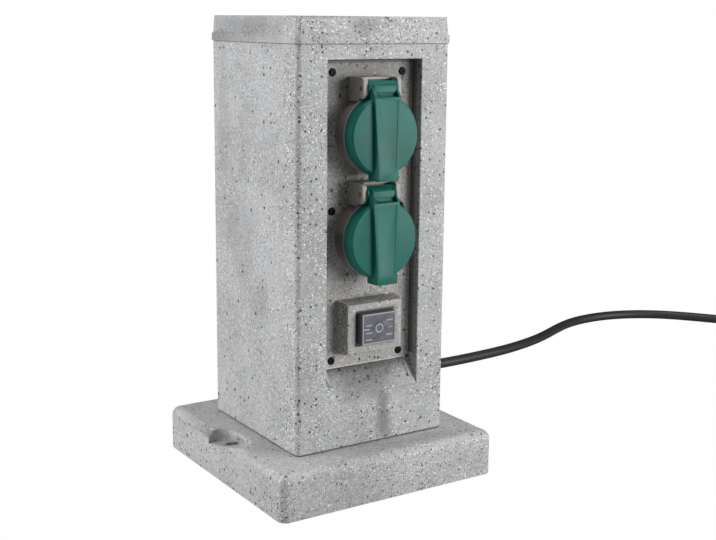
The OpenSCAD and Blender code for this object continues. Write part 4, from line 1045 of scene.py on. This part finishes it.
class PILLAR_OT_springs(bpy.types.Operator):
    """Winds the springs that close the lids"""
    bl_idname = "pillar.springs"
    bl_label = "Lid springs"

    def execute(self, context):
        wire = 0.4
        radius = 2.6
        turns = 5
        rings = 28
        pitch = 2 * wire + 0.5
        half = turns * pitch / 2
        seat = 5.7
        foot = HINGE_UP - math.sqrt(seat ** 2 - (radius - wire) ** 2) + 0.3
        leg = (foot, HINGE_UP - 3.2, HINGE_UP - 1.4)
        path = [(half, up, HINGE_OUT - radius) for up in leg]
        for i in range(turns * rings + 1):
            turn = math.tau * i / rings
            path.append((half - pitch * i / rings, HINGE_UP + radius * math.sin(turn),
                         HINGE_OUT - radius * math.cos(turn)))
        for side, z in SOCKETS:
            spring = wire_mesh(context, f"{side}_wound_spring", [path], wire, facing(z))
            place(spring, "pillar", "steel", finishes["steel"], (f"{side}_lid_spring",))
        return {"FINISHED"}


def wire_mesh(context, name, paths, radius, matrix=None, kind="POLY"):
    """Round wires of one radius in millimetres along the paths, as one mesh."""
    curve = bpy.data.curves.new(name, "CURVE")
    curve.dimensions = "3D"
    curve.bevel_depth = radius * MM
    curve.bevel_resolution = 4
    curve.resolution_u = 10
    curve.use_fill_caps = True
    for path in paths:
        spline = curve.splines.new(kind)
        if kind == "POLY":
            spline.points.add(len(path) - 1)
            for knot, point in zip(spline.points, path):
                knot.co = (*(Vector(point) * MM), 1)
        else:
            spline.bezier_points.add(len(path) - 1)
            for knot, (point, before, after) in zip(spline.bezier_points, path):
                knot.handle_left_type = knot.handle_right_type = "FREE"
                knot.co = Vector(point) * MM
                knot.handle_left = Vector(before) * MM
                knot.handle_right = Vector(after) * MM
    obj = bpy.data.objects.new(name, curve)
    context.scene.collection.objects.link(obj)
    if matrix is not None:
        obj.matrix_world = matrix
    make_active(obj)
    bpy.ops.object.convert(target="MESH")
    obj = context.active_object
    settle(obj)
    smooth(obj, 40)
    return obj


class PILLAR_OT_switch(bpy.types.Operator):
    """Models the splash boot, and finishes the rocker switch under it"""
    bl_idname = "pillar.switch"
    bl_label = "Switch and boot"

    def execute(self, context):
        boot = merged_copy("switch_boot", "splash_boot")
        smooth(boot)
        place(boot, "pillar", "clear_boot", finishes["clear boot"], ("switch_boot",))
        dress("switch_body", finishes["black plastic"])
        dress("switch_rocker", finishes["black plastic"])
        dress("switch_tabs", finishes["brass"])
        return {"FINISHED"}


class PILLAR_OT_entry(bpy.types.Operator):
    """Finishes the cable bush, its nut, the inner cord and its clamp"""
    bl_idname = "pillar.entry"
    bl_label = "Cable entry"

    def execute(self, context):
        dress("cable_bush", finishes["black rubber"])
        dress("bush_nut", finishes["black plastic"])
        dress("inner_cord", finishes["cable sheath"])
        dress("cord_clamp", finishes["white plastic"])
        for node in ("clamp_screws", "base_screws", "insert_screws"):
            dress(node, finishes["steel"])
        return {"FINISHED"}


class PILLAR_OT_leads(bpy.types.Operator):
    """Runs the brown, blue and earth leads inside the pillar"""
    bl_idname = "pillar.leads"
    bl_label = "Leads"

    def execute(self, context):
        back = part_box("upper_contact_sleeves")[1][1] / MM
        low_earth = LOWER_Z - EARTH_DOWN
        high_earth = UPPER_Z - EARTH_DOWN
        gap = TERMINAL_GAP
        for side, name, slot in ((-1, "brown", "lead_brown"), (1, "blue", "lead_blue")):
            pin = side * PIN_SIDE
            tab = side * TAB_SIDE
            runs = [
                self.run((side * 2.9, CORD_END, EXIT_Z + 0.9), -18, (tab, TAB_BACK, SWITCH_Z - 5), 30),
                self.run((tab, TAB_BACK, SWITCH_Z + 5), 16, (pin, back, LOWER_Z - gap), 16),
                self.run((pin, back, LOWER_Z + gap), 18, (pin, back, UPPER_Z - gap), 18),
            ]
            self.lead(context, name, slot, runs)
        runs = [
            self.run((0, CORD_END, EXIT_Z - 2.9), -26, (-gap, back, low_earth), 44),
            self.run((gap, back, low_earth), 30, (gap, back, high_earth), 30),
        ]
        self.lead(context, "earth", "lead_green", runs)
        return {"FINISHED"}

    def run(self, start, leaving, end, arriving):
        """Lead that leaves its start and meets its end along Y, with a short straight stub at each."""
        start, end = Vector(start), Vector(end)
        leave, arrive = Vector((0, leaving, 0)), Vector((0, arriving, 0))
        near = start + 1.5 * leave.normalized()
        far = end + 1.5 * arrive.normalized()
        return [(start, start - leave * 0.01, start + leave * 0.01),
                (near, near - leave * 0.01, near + leave),
                (far, far + arrive, far - arrive * 0.01),
                (end, end + arrive * 0.01, end - arrive * 0.01)]

    def lead(self, context, name, slot, runs):
        wires = wire_mesh(context, f"{name}_wires", runs, LEAD_RADIUS, kind="BEZIER")
        place(wires, "pillar", slot, finishes[slot.replace("_", " ")], (f"leads_{name}",))


class PILLAR_OT_plug(bpy.types.Operator):
    """Finishes the plug on the far end of the cable"""
    bl_idname = "pillar.plug"
    bl_label = "Plug"

    def execute(self, context):
        dress("plug_body", finishes["black rubber"])
        dress("plug_contacts", finishes["nickel"])
        return {"FINISHED"}


class PILLAR_PT_panel(bpy.types.Panel):
    """Lists the pillar's pieces in the sidebar"""
    bl_idname = "PILLAR_PT_panel"
    bl_label = "Socket pillar"
    bl_space_type = "VIEW_3D"
    bl_region_type = "UI"
    bl_category = "Pillar"

    def draw(self, context):
        scene = context.scene
        for group, names in (
                (scene.pillar_granite,
                 ("base", "panel", "light_chip", "dark_chip", "edge", "slab_edge")),
                (scene.pillar_lids, ("colour", "roughness", "edge")),
                (scene.pillar_cable, ("diameter", "colour")),
                (scene.pillar_studio, ("lens", "key", "side", "top", "ambient"))):
            box = self.layout.box()
            for name in names:
                box.prop(group, name)
        for piece in PIECES:
            self.layout.operator(piece.bl_idname)


PIECES = (
    PILLAR_OT_camera, PILLAR_OT_cable, PILLAR_OT_studio, PILLAR_OT_shell, PILLAR_OT_panel,
    PILLAR_OT_panel_screws, PILLAR_OT_sockets, PILLAR_OT_lids, PILLAR_OT_springs, PILLAR_OT_switch,
    PILLAR_OT_entry, PILLAR_OT_leads, PILLAR_OT_plug,
)
GROUPS = (GraniteProperties, LidProperties, CableProperties, StudioProperties)


def register():
    for item in (*GROUPS, *PIECES, PILLAR_PT_panel):
        bpy.utils.register_class(item)
    bpy.types.Scene.pillar_granite = bpy.props.PointerProperty(type=GraniteProperties)
    bpy.types.Scene.pillar_lids = bpy.props.PointerProperty(type=LidProperties)
    bpy.types.Scene.pillar_cable = bpy.props.PointerProperty(type=CableProperties)
    bpy.types.Scene.pillar_studio = bpy.props.PointerProperty(type=StudioProperties)


def unregister():
    for name in ("pillar_studio", "pillar_cable", "pillar_lids", "pillar_granite"):
        delattr(bpy.types.Scene, name)
    for item in reversed((*GROUPS, *PIECES, PILLAR_PT_panel)):
        bpy.utils.unregister_class(item)


def main():
    register()
    leave_finishes(bpy.context.scene)
    for piece in PIECES:
        group, name = piece.bl_idname.split(".")
        getattr(getattr(bpy.ops, group), name)()


if __name__ == "__main__":
    main()
